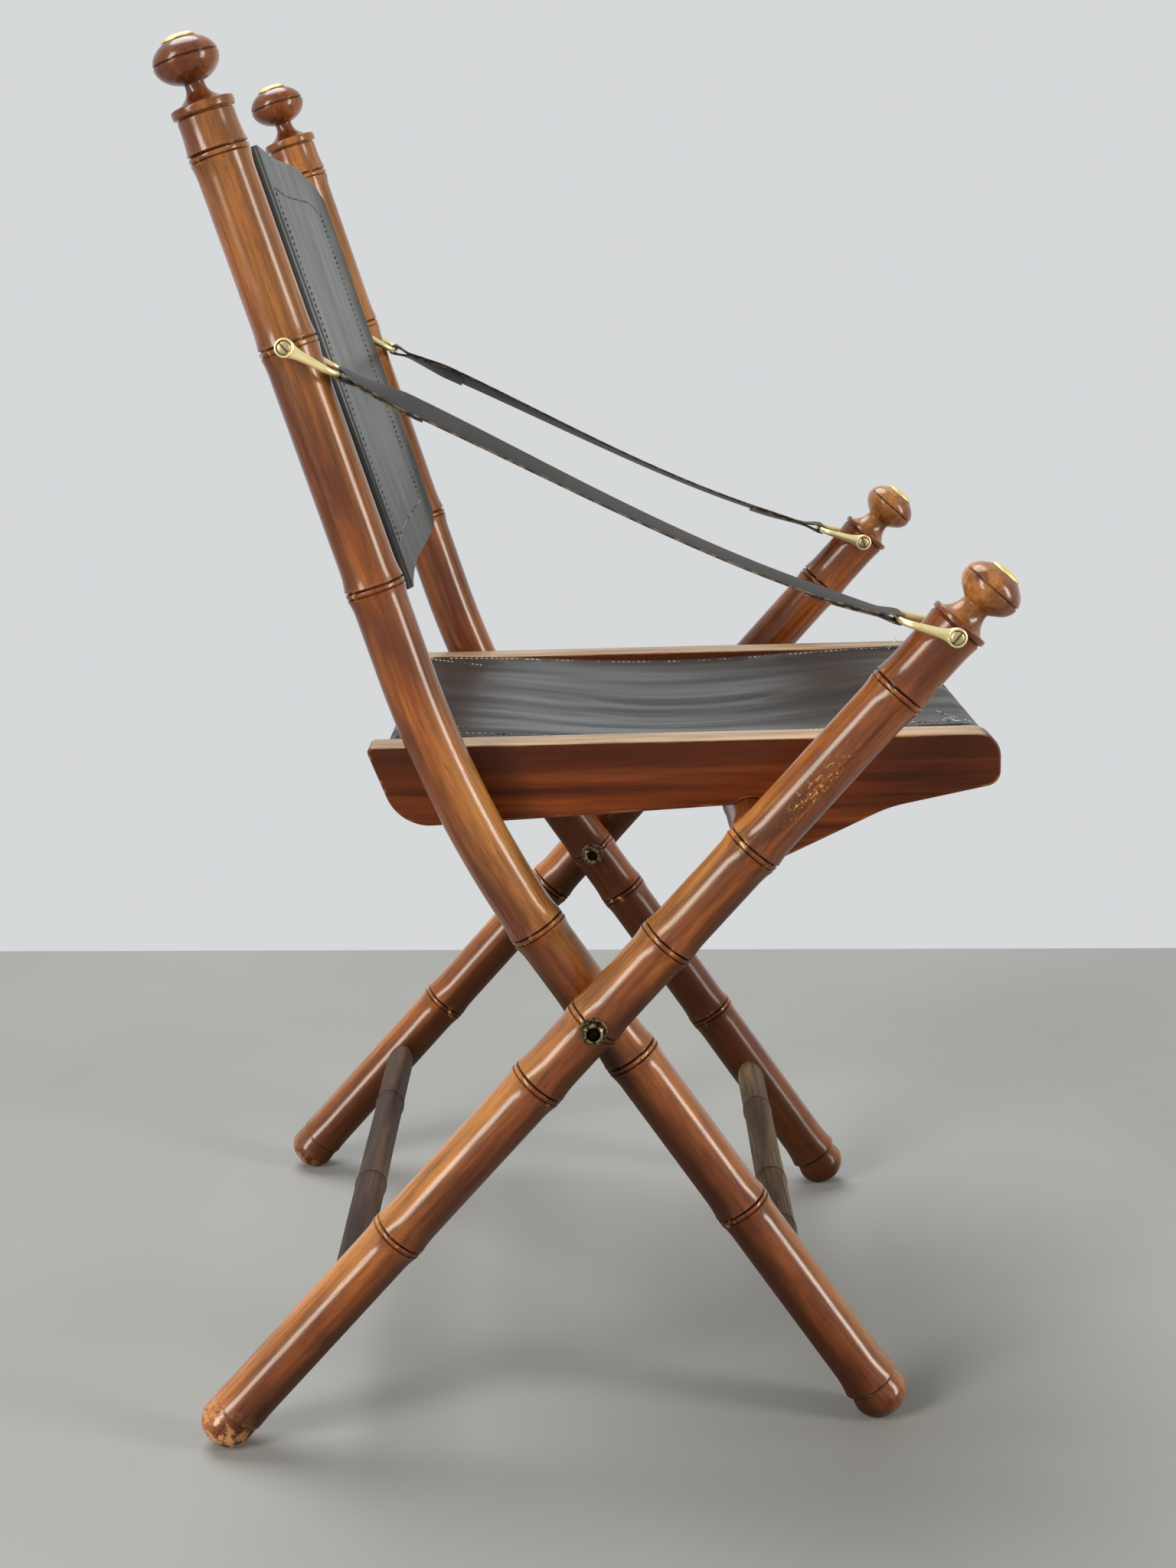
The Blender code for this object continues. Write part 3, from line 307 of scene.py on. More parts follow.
class Wire:
    """An output socket in one material's tree, or the tree alone to start from. Sums and products of wires
    and numbers add Math nodes."""

    def __init__(self, tree, socket=None):
        self.tree = tree
        self.socket = socket

    def node(self, kind, settings, sockets, output=0):
        """Adds a node of a kind: its settings first, then the value or the wire of each socket."""
        made = self.tree.nodes.new("ShaderNode" + kind)
        for setting, value in settings.items():
            setattr(made, setting, value)
        for socket, value in sockets.items():
            if isinstance(value, Wire):
                self.tree.links.new(value.socket, made.inputs[socket])
            else:
                made.inputs[socket].default_value = value
        return Wire(self.tree, made.outputs[output])

    def maths(self, operation, first, second):
        """Adds a Math node."""
        return self.node("Math", {"operation": operation}, {0: first, 1: second})

    def __add__(self, other):
        return self.maths("ADD", self, other)

    __radd__ = __add__

    def __sub__(self, other):
        return self.maths("SUBTRACT", self, other)

    def __rsub__(self, other):
        return self.maths("SUBTRACT", other, self)

    def __mul__(self, other):
        return self.maths("MULTIPLY", self, other)

    __rmul__ = __mul__

    def between(self, low, high):
        """Smooth step from 0 at one value to 1 at another."""
        settings = {"interpolation_type": "SMOOTHSTEP"}
        return self.node("MapRange", settings, {"Value": self, "From Min": low, "From Max": high})

    def tint(self, first, second):
        """Colour mixed from one to another by this share."""
        return self.node("Mix", {"data_type": "RGBA"}, {0: self, 6: first, 7: second}, 2)

    def mark(self, name, output="Fac"):
        """Named value of the piece's points."""
        return self.node("Attribute", {"attribute_name": name}, {}, output)

    def noise(self, across, along, detail=2.0, rough=0.5):
        """Noise over this vector, with its own number of spots per metre across and along its third axis."""
        stretched = self.node("VectorMath", {"operation": "MULTIPLY"}, {0: self, 1: (across, across, along)})
        sockets = {"Vector": stretched, "Scale": 1.0, "Detail": detail, "Roughness": rough}
        return self.node("TexNoise", {}, sockets)

    def bump(self, depth, strength=1.0):
        """Normal of a surface that this height raises, up to a depth in metres."""
        sockets = {"Height": self, "Distance": depth, "Strength": strength}
        return self.node("Bump", {}, sockets, "Normal")


def finish(name, constants):
    """New material of one Principled shader, with the sockets that are the same all over set on it."""
    material = bpy.data.materials.new(name)
    material.use_nodes = True
    shader = material.node_tree.nodes["Principled BSDF"]
    for socket, value in constants.items():
        shader.inputs[socket].default_value = value
    return material, Wire(material.node_tree)


def feed(material, wires):
    """Links wires to sockets of a material's shader."""
    shader = material.node_tree.nodes["Principled BSDF"]
    for socket, wire in wires.items():
        material.node_tree.links.new(wire.socket, shader.inputs[socket])
    return material


def varnished_wood():
    """Reddish brown stain on long grain, with dark pores, darker in the grooves and stain worn off the lips.
    The upper sides are tinted paler as painted light and the undersides darker as painted shade.
    """
    material, start = finish("varnished_wood", {"IOR": 1.26, "Specular Tint": WARM_SHEEN,
                                                "Coat Roughness": 0.17})
    grain = start.mark("grain", "Vector")
    broad = grain.noise(42, 7, 3, 0.6)
    streak = grain.noise(300, 12, 3, 0.6)
    pores = grain.noise(1500, 50, 2, 0.5).between(0.59, 0.70)
    blotch = grain.noise(34, 15, 3, 0.6)
    tone = broad * 0.66 + streak * 0.34
    painted_lighting = start.mark("painted_lighting")
    groove = start.mark("groove")
    colour = tone.between(0.36, 0.54).tint(srgb(80, 38, 16), srgb(130, 68, 28))
    colour = tone.between(0.50, 0.66).tint(colour, srgb(168, 95, 40))
    colour = (blotch.between(0.44, 0.66) * 0.7).tint(colour, srgb(86, 40, 18))
    # Painted light: the upper sides are tinted paler and more orange
    painted_lit_side = painted_lighting.between(0.52, 0.92) * (0.3 + tone.between(0.38, 0.62) * 0.6)
    colour = painted_lit_side.tint(colour, srgb(204, 140, 72))
    # Painted shade: the undersides, and the legs low down, are tinted dark brown
    colour = (painted_lighting.between(0.55, 0.18) * 0.88).tint(colour, srgb(44, 20, 10))
    colour = (pores * 0.55).tint(colour, srgb(46, 23, 12))
    uneven = grain.noise(60, 60, 3, 0.6).between(0.36, 0.58) * 0.4 + 0.45
    colour = (groove * uneven).tint(colour, srgb(26, 13, 7))
    colour = start.mark("knot").tint(colour, srgb(70, 32, 17))
    rubbed = grain.noise(130, 130, 3, 0.6).between(0.56, 0.64)
    colour = (start.mark("lip") * rubbed * 0.6).tint(colour, srgb(214, 162, 92))
    scratched = grain.noise(620, 300, 5, 0.75).between(0.57, 0.60)
    scuffed = start.mark("scuff").between(0.18, 0.8) * scratched
    colour = scuffed.tint(colour, srgb(222, 166, 84))
    base = start.mark("base")
    scraped = grain.noise(150, 150, 4, 0.65).between(0.44, 0.56) * base.between(0.20, 0.60)
    colour = (scraped * 0.8).tint(colour, srgb(206, 150, 98))
    dented = grain.noise(240, 240, 3, 0.6).between(0.60, 0.66) * base.between(0.15, 0.45)
    colour = (dented * 0.8).tint(colour, srgb(66, 38, 22))
    rough = streak * 0.14 + pores * 0.16 + groove * 0.25 + scuffed * 0.2
    rough = rough + painted_lighting.between(0.45, 0.12) * 0.25 + 0.2
    shine = (0.7 - pores * 0.2 - scuffed * 0.5) * painted_lighting.between(0.08, 0.5)
    relief = grain.noise(90, 12, 2, 0.5) * 0.35 - pores * 0.5 + streak * 0.22
    return feed(material, {"Base Color": colour, "Roughness": rough, "Coat Weight": shine,
                           "Normal": relief.bump(0.0004, 0.35)})


pole_look = varnished_wood()
for number, (side, sign) in enumerate(SIDES):
    arm_pole = turned_pole(
        f"arm_pole_{side}_turned", along_arm, ARM_RISE, ARM_TOP, ARM_FLANGE_HEIGHT, ARM_NODES, sign * arm_y,
        rim_rise=ARM_RIM_RISE, foot_lip=ARM_FOOT_SHARE, pivot_node=True, scuffs=side == "right",
        painted_shade_and_tarnish=ARM_PAINTED_SHADE[side], even=ARM_EVEN, pale=ARM_PALE[side], shift=GRAIN_SHIFT * number)
    fit(arm_pole, pole_look, "varnished_wood", "arm_frame", f"arm_pole_{side}")
    back_post = turned_pole(
        f"back_post_{side}_turned", along_post, 90 - POST_LEAN_LOW, POST_TOP, POST_FLANGE_HEIGHT, POST_NODES,
        sign * post_y, rim_rise=0, foot_lip=1, pivot_node=False, scuffs=False, painted_shade_and_tarnish=POST_PAINTED_SHADE[side],
        even=0, pale=POST_PALE[side], shift=GRAIN_SHIFT * (number + 2))
    fit(back_post, pole_look, "varnished_wood", "back_frame", f"back_post_{side}")

# Finials
# Turned knobs of the same wood, dowelled into the tops of the poles: flattened balls with a groove round
# them, on a thin neck at the back and on a stout one at the arms.

BALL_RADIUS = 0.0215
BALL_HALF = 0.0150
BALL_UP = 0.0275            # of the ball's middle above the top of its pole
BALL_GROOVE_UP = 0.0010     # of the groove above the ball's middle
BALL_GROOVE_DEPTH = 0.0011
BALL_GROOVE_HALF = 0.0006
NECKS = {"back": (0.0065, 0.0120, 0.0022), "arm": (0.0098, 0.0150, 0.0055)}   # radius, height, fillet
NECK_FOOT_RADIUS = 0.0165
CAP_RADIUS = 0.0110         # of the flat top under the cap
KNOT_RADIUS = 0.0046        # of the plugged knot on the right arm's ball
KNOT_UP = 0.0295
KNOT_TURN = 229.0
BALL_PAINTED_LIGHT = {"back": 0.52, "arm": 0.74}     # painted light: how much lighter each kind of ball is painted overall

cap_seat = BALL_UP + BALL_HALF * math.sin(math.acos(CAP_RADIUS / BALL_RADIUS))
pole_tops = {"back": (along_post, POST_TOP, post_y), "arm": (along_arm, ARM_TOP, arm_y)}


def soft_maximum(first, second, width):
    """Greater of two values, with the corner between them rounded over a width."""
    share = np.clip(0.5 + (first - second) / (2 * width), 0, 1)
    return second + (first - second) * share + width * share * (1 - share)


def finial_profile(neck, foot_height, fillet):
    """Height and radius up a finial: a cove from its foot to the neck, an ellipse for the ball blended into
    it, a thin groove, and a flat top under the cap."""
    groove_at = BALL_UP + BALL_GROOVE_UP
    near_groove = groove_at + np.linspace(-2 * BALL_GROOVE_HALF, 2 * BALL_GROOVE_HALF, 13)
    height = np.unique(np.concatenate([np.linspace(0, BALL_UP, 60), np.linspace(BALL_UP, cap_seat, 40),
                                       near_groove]))
    cove = neck + (NECK_FOOT_RADIUS - neck) * np.clip(1 - height / foot_height, 0, 1) ** 2.6
    inside = np.clip(1 - ((height - BALL_UP) / BALL_HALF) ** 2, 0, None)
    radius = soft_maximum(BALL_RADIUS * np.sqrt(inside), cove, fillet)
    cut = np.exp(-((height - groove_at) / BALL_GROOVE_HALF) ** 4)
    radius = radius - BALL_GROOVE_DEPTH * cut
    height = np.concatenate([[0], height, [cap_seat]])
    return height, np.concatenate([[0], radius, [0]]), np.concatenate([[0], cut, [0]])


def turned_on(name, axis, top, y, height, radius, marks, shift, painted_lighting=0, knot=0):
    """Piece turned about the end of a pole's axis: the profile of height and radius carried round a circle.
    A knot is marked by distance from its middle on the ball."""
    x, z, angle = (float(value[0]) for value in axis(np.array([top])))
    around = np.linspace(0, 2 * math.pi, POLE_SIDES, endpoint=False)[None, :]
    height, radius = height[:, None], radius[:, None]
    ahead = radius * np.cos(around)
    points = np.stack([x + height * math.cos(angle) + ahead * math.sin(angle), y + radius * np.sin(around),
                       z + height * math.sin(angle) - ahead * math.cos(angle)], -1)
    grain = np.stack([ahead + shift, radius * np.sin(around), height + 0 * around], -1)
    spread = {mark: values[:, None] + 0 * around for mark, values in marks.items()}
    # Painted light and shade: the knob is marked lighter on its upper side and darker underneath
    spread["painted_lighting"] = painted_lighting - 0.36 * np.cos(around) * math.cos(angle) + 0 * height
    away = np.hypot((around - math.radians(KNOT_TURN)) * BALL_RADIUS, (height - KNOT_UP) * 1.15) / KNOT_RADIUS
    plug = np.clip((1 - away) / 0.1, 0, 1)
    ring = np.exp(-((away - 1) / 0.14) ** 2)
    spread["knot"] = knot * (0.65 * plug + 0.35 * ring)
    return surface(name, points, wrap=True, marks={"grain": grain, **spread})


for number, (side, sign) in enumerate(SIDES):
    for kind, (axis, top, y) in pole_tops.items():
        height, radius, cut = finial_profile(*NECKS[kind])
        knob = turned_on(f"{kind}_finial_{side}_turned", axis, top, sign * y, height, radius, {"groove": cut},
                         GRAIN_SHIFT * (5 + number), BALL_PAINTED_LIGHT[kind], kind == "arm" and side == "right")
        fit(knob, pole_look, "varnished_wood", f"{kind}_frame", f"{kind}_finial_{side}")

# Finial caps
# Shallow domes of brass pressed into the tops of the finials with a spigot, and rubbed bright by hands.

CAP_CROWN = 0.0038
CAP_EDGE = 0.0008           # height of a cap's upright rim


def brass_finish(name, colour, rough):
    """Old polished brass: yellow metal with brown tarnish in patches and in its hollows."""
    material, start = finish(name, {"Metallic": 1.0})
    place = start.node("TexCoord", {}, {}, "Object")
    cloud = place.noise(140, 140, 4, 0.6)
    fine = place.noise(900, 900, 2, 0.5)
    painted_shade_and_tarnish = cloud.between(0.52, 0.76) * 0.30 + start.mark("hollow") * 0.85
    shade = painted_shade_and_tarnish.tint(colour, srgb(96, 74, 40))
    return feed(material, {"Base Color": shade, "Roughness": cloud * 0.20 + painted_shade_and_tarnish * 0.2 + rough,
                           "Normal": fine.bump(0.00002, 0.3)})


cap_look = brass_finish("rubbed_brass", srgb(244, 224, 156), 0.36)
cap_turn = np.linspace(0, math.pi / 2, 14)
cap_dome = CAP_EDGE + (CAP_CROWN - CAP_EDGE) * np.sin(cap_turn)
cap_height = cap_seat + np.concatenate([[0.0002, 0.0002, 0.0003], cap_dome])
cap_radius = np.concatenate([[0], [CAP_RADIUS - 0.0004, CAP_RADIUS], CAP_RADIUS * np.cos(cap_turn)])
cap_hollow = np.concatenate([[0, 0.9, 0.5], 0.12 * np.cos(cap_turn) ** 8])
for side, sign in SIDES:
    for kind, (axis, top, y) in pole_tops.items():
        cap = turned_on(f"{kind}_cap_{side}_domed", axis, top, sign * y, cap_height, cap_radius,
                        {"hollow": cap_hollow}, 0)
        fit(cap, cap_look, "brass", f"{kind}_frame", f"{kind}_cap_{side}")

# Pivot bolts, washers and nuts
# Metal fasteners browned with age, one set on each side: a hex bolt with a hollow head on a wide washer
# outside, a thin washer between the poles, and a washer and a hex nut inside.

BOLT_RADIUS = 0.0040
HEX_HALF = 0.0066           # from the middle of a head or nut to a flat
RIM_RADIUS = 0.0061         # of the bright round rim at the end of the head
HOLLOW_RADIUS = 0.0047
HOLLOW_DEPTH = 0.0022
BOLT_END_SUNK = 0.0012      # how far the bolt's end lies inside the nut
RIM_ROUND = 0.0003          # of the edges of the rim and the washers
NUT_CHAMFER = 0.0012


def on_pivot(name, y, radius, hexagonal, marks, closed):
    """Piece turned about the pivot: distance across the chair and radius, carried round a circle that is
    pushed out to a hexagon where the profile asks for it. A closed profile makes a ring."""
    around = np.linspace(0, 2 * math.pi, 73)[None, :-1]
    corner = 1 / np.cos((around + math.pi / 6) % (math.pi / 3) - math.pi / 6)
    reach = radius[:, None] * (1 + hexagonal[:, None] * (corner - 1))
    points = np.stack([pivot_x + reach * np.cos(around), y[:, None] + 0 * around,
                       pivot_z + reach * np.sin(around)], -1)
    spread = {mark: values[:, None] + 0 * around for mark, values in marks.items()}
    if closed:
        points = np.concatenate([points, points[:1]])
        spread = {mark: np.concatenate([values, values[:1]]) for mark, values in spread.items()}
    return surface(name, points, wrap=True, marks=spread, sharp=30)


def browned_steel():
    """Dark brown metal, dull in its hollows, with bare bright metal where rims and corners are rubbed."""
    material, start = finish("browned_steel", {"Metallic": 1.0})
    place = start.node("TexCoord", {}, {}, "Object")
    cloud = place.noise(380, 380, 4, 0.6)
    rubbed = start.mark("rim") * cloud.between(0.36, 0.60)
    colour = cloud.between(0.38, 0.66).tint(srgb(40, 30, 23), srgb(82, 60, 42))
    colour = (rubbed * 0.8).tint(colour, srgb(188, 166, 122))
    colour = start.mark("hollow").tint(colour, srgb(14, 11, 9))
    rough = cloud * 0.30 + start.mark("hollow") * 0.35 + 0.24
    return feed(material, {"Base Color": colour, "Roughness": rough, "Normal": cloud.bump(0.00012, 0.6)})


def refinish(node, look):
    """Gives a solid that stays in sight a better finish."""
    finishes = frame["nodes"][node].data.materials
    finishes.clear()
    finishes.append(look)


steel_look = browned_steel()
for side, sign in SIDES:
    washer_box = {kind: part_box(f"pivot_{kind}_washer_{side}") for kind in ("head", "pole", "nut")}
    for kind, (low, high) in washer_box.items():
        wide = (high.x - low.x) / 2
        y = np.array([low.y, low.y, low.y + RIM_ROUND, high.y - RIM_ROUND, high.y, high.y])
        radius = np.array([BOLT_RADIUS, wide - RIM_ROUND, wide, wide, wide - RIM_ROUND, BOLT_RADIUS])
        washer = on_pivot(f"pivot_{kind}_washer_{side}_ring", y, radius, 0 * y,
                          {"rim": np.array([0, 0.6, 0.4, 0.4, 0.6, 0]), "hollow": 0.25 + 0 * y}, True)
        fit(washer, steel_look, "dark_bronze", "back_frame", f"pivot_{kind}_washer_{side}")

    head_end = max((corner.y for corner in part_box(f"pivot_bolt_{side}")), key=abs)
    head_foot = max((corner.y for corner in washer_box["head"]), key=abs)
    inner_end = min((corner.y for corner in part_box(f"pivot_nut_{side}")), key=abs) + sign * BOLT_END_SUNK
    up = np.array([-HOLLOW_DEPTH, -HOLLOW_DEPTH, -0.0004, 0, 0, -0.0005, -0.0016])
    y = np.concatenate([head_end + sign * up, [head_foot, head_foot, inner_end, inner_end]])
    radius = np.array([0, HOLLOW_RADIUS, HOLLOW_RADIUS, HOLLOW_RADIUS + RIM_ROUND, RIM_RADIUS - RIM_ROUND,
                       RIM_RADIUS, HEX_HALF, HEX_HALF, BOLT_RADIUS, BOLT_RADIUS, 0])
    hexagonal = np.array([0, 0, 0, 0, 0, 0.3, 1, 1, 0, 0, 0])
    marks = {"rim": np.array([0, 0, 0.3, 1, 1, 0.8, 0.2, 0, 0, 0, 0]),
             "hollow": np.array([0.7, 1, 0.8, 0, 0, 0, 0.1, 0.3, 0, 1, 0.8])}
    bolt = on_pivot(f"pivot_bolt_{side}_hollow", y, radius, hexagonal, marks, False)
    fit(bolt, steel_look, "dark_bronze", "back_frame", f"pivot_bolt_{side}")

    low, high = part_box(f"pivot_nut_{side}")
    y = np.array([low.y, low.y, low.y + NUT_CHAMFER, high.y - NUT_CHAMFER, high.y, high.y])
    radius = np.array([BOLT_RADIUS, RIM_RADIUS, HEX_HALF, HEX_HALF, RIM_RADIUS, BOLT_RADIUS])
    marks = {"rim": np.array([0.2, 1, 0.5, 0.5, 1, 0.2]), "hollow": np.array([0.6, 0, 0, 0, 0, 0.6])}
    nut = on_pivot(f"pivot_nut_{side}_hex", y, radius, np.array([0, 0, 1, 1, 0, 0]), marks, True)
    fit(nut, steel_look, "dark_bronze", "back_frame", f"pivot_nut_{side}")
    refinish(f"seat_pin_{side}", steel_look)

# Stretchers and rest rail
# Round cross rails tenoned into the poles: two bare grey-brown stretchers turned with bamboo joints near the
# feet, and a stouter varnished rail between the arm poles that carries the hooks of the seat.

STRETCHER_RADIUS = 0.01125
STRETCHER_TENON_RADIUS = 0.0070
STRETCHER_TAPER = 0.0300
REST_RAIL_RADIUS = 0.0160
REST_RAIL_TENON_RADIUS = 0.0100
REST_RAIL_TAPER = 0.0140
REAR_STRETCHER_NODES = (-0.068, 0.106)
FRONT_STRETCHER_NODES = (-0.150, -0.060, 0.092)
REST_RAIL_NODES = (-0.14, 0.14)
RAIL_NODE_SHARE = 0.55      # of a pole's node, on the thinner stretchers
TENON_SHOWN = 0.0040        # how far a rail is carried into its pole


def cross_rail(name, node, radius, tenon, taper, nodes, inner_y, shift):
    """Rail: a circle carried straight across the chair, with a smooth taper at each end and small nodes."""
    low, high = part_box(node)
    x, z = (low.x + high.x) / 2, (low.z + high.z) / 2
    reach = inner_y + TENON_SHOWN
    close = np.arange(-0.006, 0.0065, 0.0005)
    near_nodes = (np.array(nodes)[:, None] + close).ravel()
    y = np.unique(np.round(np.concatenate([near_nodes, np.linspace(-reach, reach, 90)]), 6))[:, None]
    around = np.linspace(0, 2 * math.pi, 41)[None, :-1]
    share = np.clip((inner_y - np.abs(y)) / taper, 0, 1)
    size = tenon + (radius - tenon) * np.sin(share * math.pi / 2) ** 0.8
    distance = y[..., None] - np.array(nodes)
    groove = node_groove(0.7 * distance).sum(-1)
    waver = 1 + 0.012 * np.sin(2 * around + 21 * y) + 0.008 * np.sin(3 * around - 47 * y)
    size = size * waver + RAIL_NODE_SHARE * node_rise(distance).sum(-1)
    y = repeat_ends(y)
    size = np.concatenate([0 * size[:1], size, 0 * size[-1:]])
    groove = np.concatenate([0 * groove[:1], groove, 0 * groove[-1:]]) + 0 * around
    points = np.stack([x + size * np.sin(around), y + 0 * around, z + size * np.cos(around)], -1)
    grain = np.stack([size * np.sin(around) + shift, size * np.cos(around), y + 0 * around], -1)
    # Painted shade: low values, lowest underneath, keep the varnished rest rail dark; the stretchers' finish
    # does not read them
    painted_lighting = 0.22 + 0.30 * np.cos(around) + 0 * size
    return surface(name, points, wrap=True, marks={"grain": grain, "groove": groove, "painted_lighting": painted_lighting})


def bare_wood(name, dark, middle, pale):
    """Unvarnished wood gone grey-brown, with dark long cracks, dust and a dull surface."""
    material, start = finish(name, {"IOR": 1.28})
    grain = start.mark("grain", "Vector")
    broad = grain.noise(50, 5, 3, 0.6)
    streak = grain.noise(420, 9, 3, 0.6)
    crack = grain.noise(190, 3.5, 2, 0.6).between(0.60, 0.68)
    tone = broad * 0.7 + streak * 0.3
    colour = tone.between(0.38, 0.52).tint(dark, middle)
    colour = tone.between(0.50, 0.66).tint(colour, pale)
    colour = (crack * 0.75).tint(colour, srgb(56, 38, 30))
    colour = (start.mark("groove") * 0.85).tint(colour, srgb(40, 28, 22))
    relief = streak * 0.5 + broad * 0.3 - crack
    return feed(material, {"Base Color": colour, "Roughness": streak * 0.2 + 0.52,
                           "Normal": relief.bump(0.0006, 0.6)})


# Painted light and shade: two copies of the same bare wood, painted darker on the rear stretcher under the
# seat and paler on the front one
shaded_rear_look = bare_wood("rear_stretcher_wood_painted_shade", srgb(38, 26, 20), srgb(62, 45, 35), srgb(90, 69, 54))
lit_front_look = bare_wood("front_stretcher_wood_painted_light", srgb(60, 42, 29), srgb(100, 79, 55), srgb(150, 126, 91))
thin_rail = (STRETCHER_RADIUS, STRETCHER_TENON_RADIUS, STRETCHER_TAPER)
stout_rail = (REST_RAIL_RADIUS, REST_RAIL_TENON_RADIUS, REST_RAIL_TAPER)
for node, turned, nodes, pole_y, shift, look, slot, carrier in (
        ("rear_stretcher", thin_rail, REAR_STRETCHER_NODES, arm_y, 0.1,
         shaded_rear_look, "bare_wood", "arm_frame"),
        ("front_stretcher", thin_rail, FRONT_STRETCHER_NODES, post_y, 0.6,
         lit_front_look, "bare_wood", "back_frame"),
        ("seat_rest_rail", stout_rail, REST_RAIL_NODES, arm_y, 0.9,
         pole_look, "varnished_wood", "arm_frame")):
    rail = cross_rail(f"{node}_turned", node, *turned, nodes, pole_y - POLE_RADIUS, shift)
    fit(rail, look, slot, carrier, node)

# Seat boards and seat rails
# Two shaped boards of redder wood, hinged to the posts on hidden pins, with a hook at the front that sits on
# the rest rail. Their upper edges are rubbed bare, and two hidden rails between them carry the seat leather.

SEAT_TILT = 1.25            # degrees, front end up
BOARD_TOP = 0.0369          # above the hinge, in the seat frame's own axes
BOARD_REAR = 0.0673
BOARD_REAR_SLOPE = 0.0218
BOARD_BOTTOM = 0.0205
BOARD_WAIST = 0.0098
BOARD_FRONT = 0.3662
BOARD_NOSE_BOTTOM = 0.0010
HOOK_DROP = 0.0290
HOOK_BROW_AHEAD = 0.0780
HOOK_BROW_BOTTOM = 0.0140
HOOK_CLEARANCE = 0.0003
BOARD_CORNER = 0.0040
BOARD_HEEL = 0.0320
BOARD_BROW = 0.0900
BOARD_NOSE = 0.0170
BOARD_CHIN = 0.0100
BOARD_EDGE = 0.0022         # rounding of the long edges
BOARD_POINTS = 420

hinge_x, _, hinge_z = joints["seat_lift"]["pos_m"]
tilt = math.radians(SEAT_TILT)


def from_seat(u, y, v):
    """World points from the seat frame's own axes, forwards and upwards from the hinge."""
    return np.stack([hinge_x + u * math.cos(tilt) - v * math.sin(tilt), y + 0 * u,
                     hinge_z + u * math.sin(tilt) + v * math.cos(tilt)], -1)


def arc_corner(before, corner, after, radius):
    """Points round one rounded corner of an outline: an arc that touches the lines to its two neighbours."""
    before, corner, after = (np.array(point, float) for point in (before, corner, after))
    if radius == 0:
        return corner[None, :]
    back = (before - corner) / np.linalg.norm(before - corner)
    on = (after - corner) / np.linalg.norm(after - corner)
    half = math.acos(float(np.clip(back @ on, -1, 1))) / 2
    bisector = (back + on) / np.linalg.norm(back + on)
    centre = corner + bisector * radius / math.sin(half)
    first = corner + back * radius / math.tan(half) - centre
    last = corner + on * radius / math.tan(half) - centre
    start = math.atan2(first[1], first[0])
    swing = (math.atan2(last[1], last[0]) - start + math.pi) % (2 * math.pi) - math.pi
    turn = start + swing * np.linspace(0, 1, 24)
    return centre + radius * np.stack([np.cos(turn), np.sin(turn)], 1)


def board_outline():
    """Side view of a board: a sloped heel, a waist, an arch over the rest rail, its hook and a round nose,
    as even steps round the outline."""
    low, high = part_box("seat_rest_rail")
    ahead = (low.x + high.x) / 2 - hinge_x
    above = (low.z + high.z) / 2 - hinge_z
    rail_u = ahead * math.cos(tilt) + above * math.sin(tilt)
    rail_v = above * math.cos(tilt) - ahead * math.sin(tilt)
    notch = REST_RAIL_RADIUS + HOOK_CLEARANCE
    wall = rail_u + notch
    lip = math.asin((-BOARD_WAIST - rail_v) / notch)
    corners = [(wall, rail_v, 0), (wall, rail_v - HOOK_DROP, BOARD_CORNER),
               (wall + HOOK_BROW_AHEAD, -HOOK_BROW_BOTTOM, BOARD_BROW),
               (BOARD_FRONT, BOARD_NOSE_BOTTOM, BOARD_CHIN), (BOARD_FRONT, BOARD_TOP, BOARD_NOSE),
               (-BOARD_REAR, BOARD_TOP, BOARD_CORNER),
               (BOARD_REAR_SLOPE - BOARD_REAR, -BOARD_BOTTOM, BOARD_HEEL),
               (rail_u - notch * math.cos(lip), -BOARD_WAIST, 0)]
    count = len(corners)
    arcs = [arc_corner(corners[index - 1][:2], corners[index][:2], corners[(index + 1) % count][:2],
                       corners[index][2]) for index in range(count)]
    turn = np.linspace(math.pi - lip, 0, 24)[1:-1]
    arch = np.stack([rail_u + notch * np.cos(turn), rail_v + notch * np.sin(turn)], 1)
    line = np.concatenate([*arcs, arch, arcs[0]])
    step = np.concatenate([[0], np.cumsum(np.linalg.norm(np.diff(line, axis=0), axis=1))])
    even = np.linspace(0, step[-1], BOARD_POINTS, endpoint=False)
    return np.stack([np.interp(even, step, line[:, 0]), np.interp(even, step, line[:, 1])], 1)


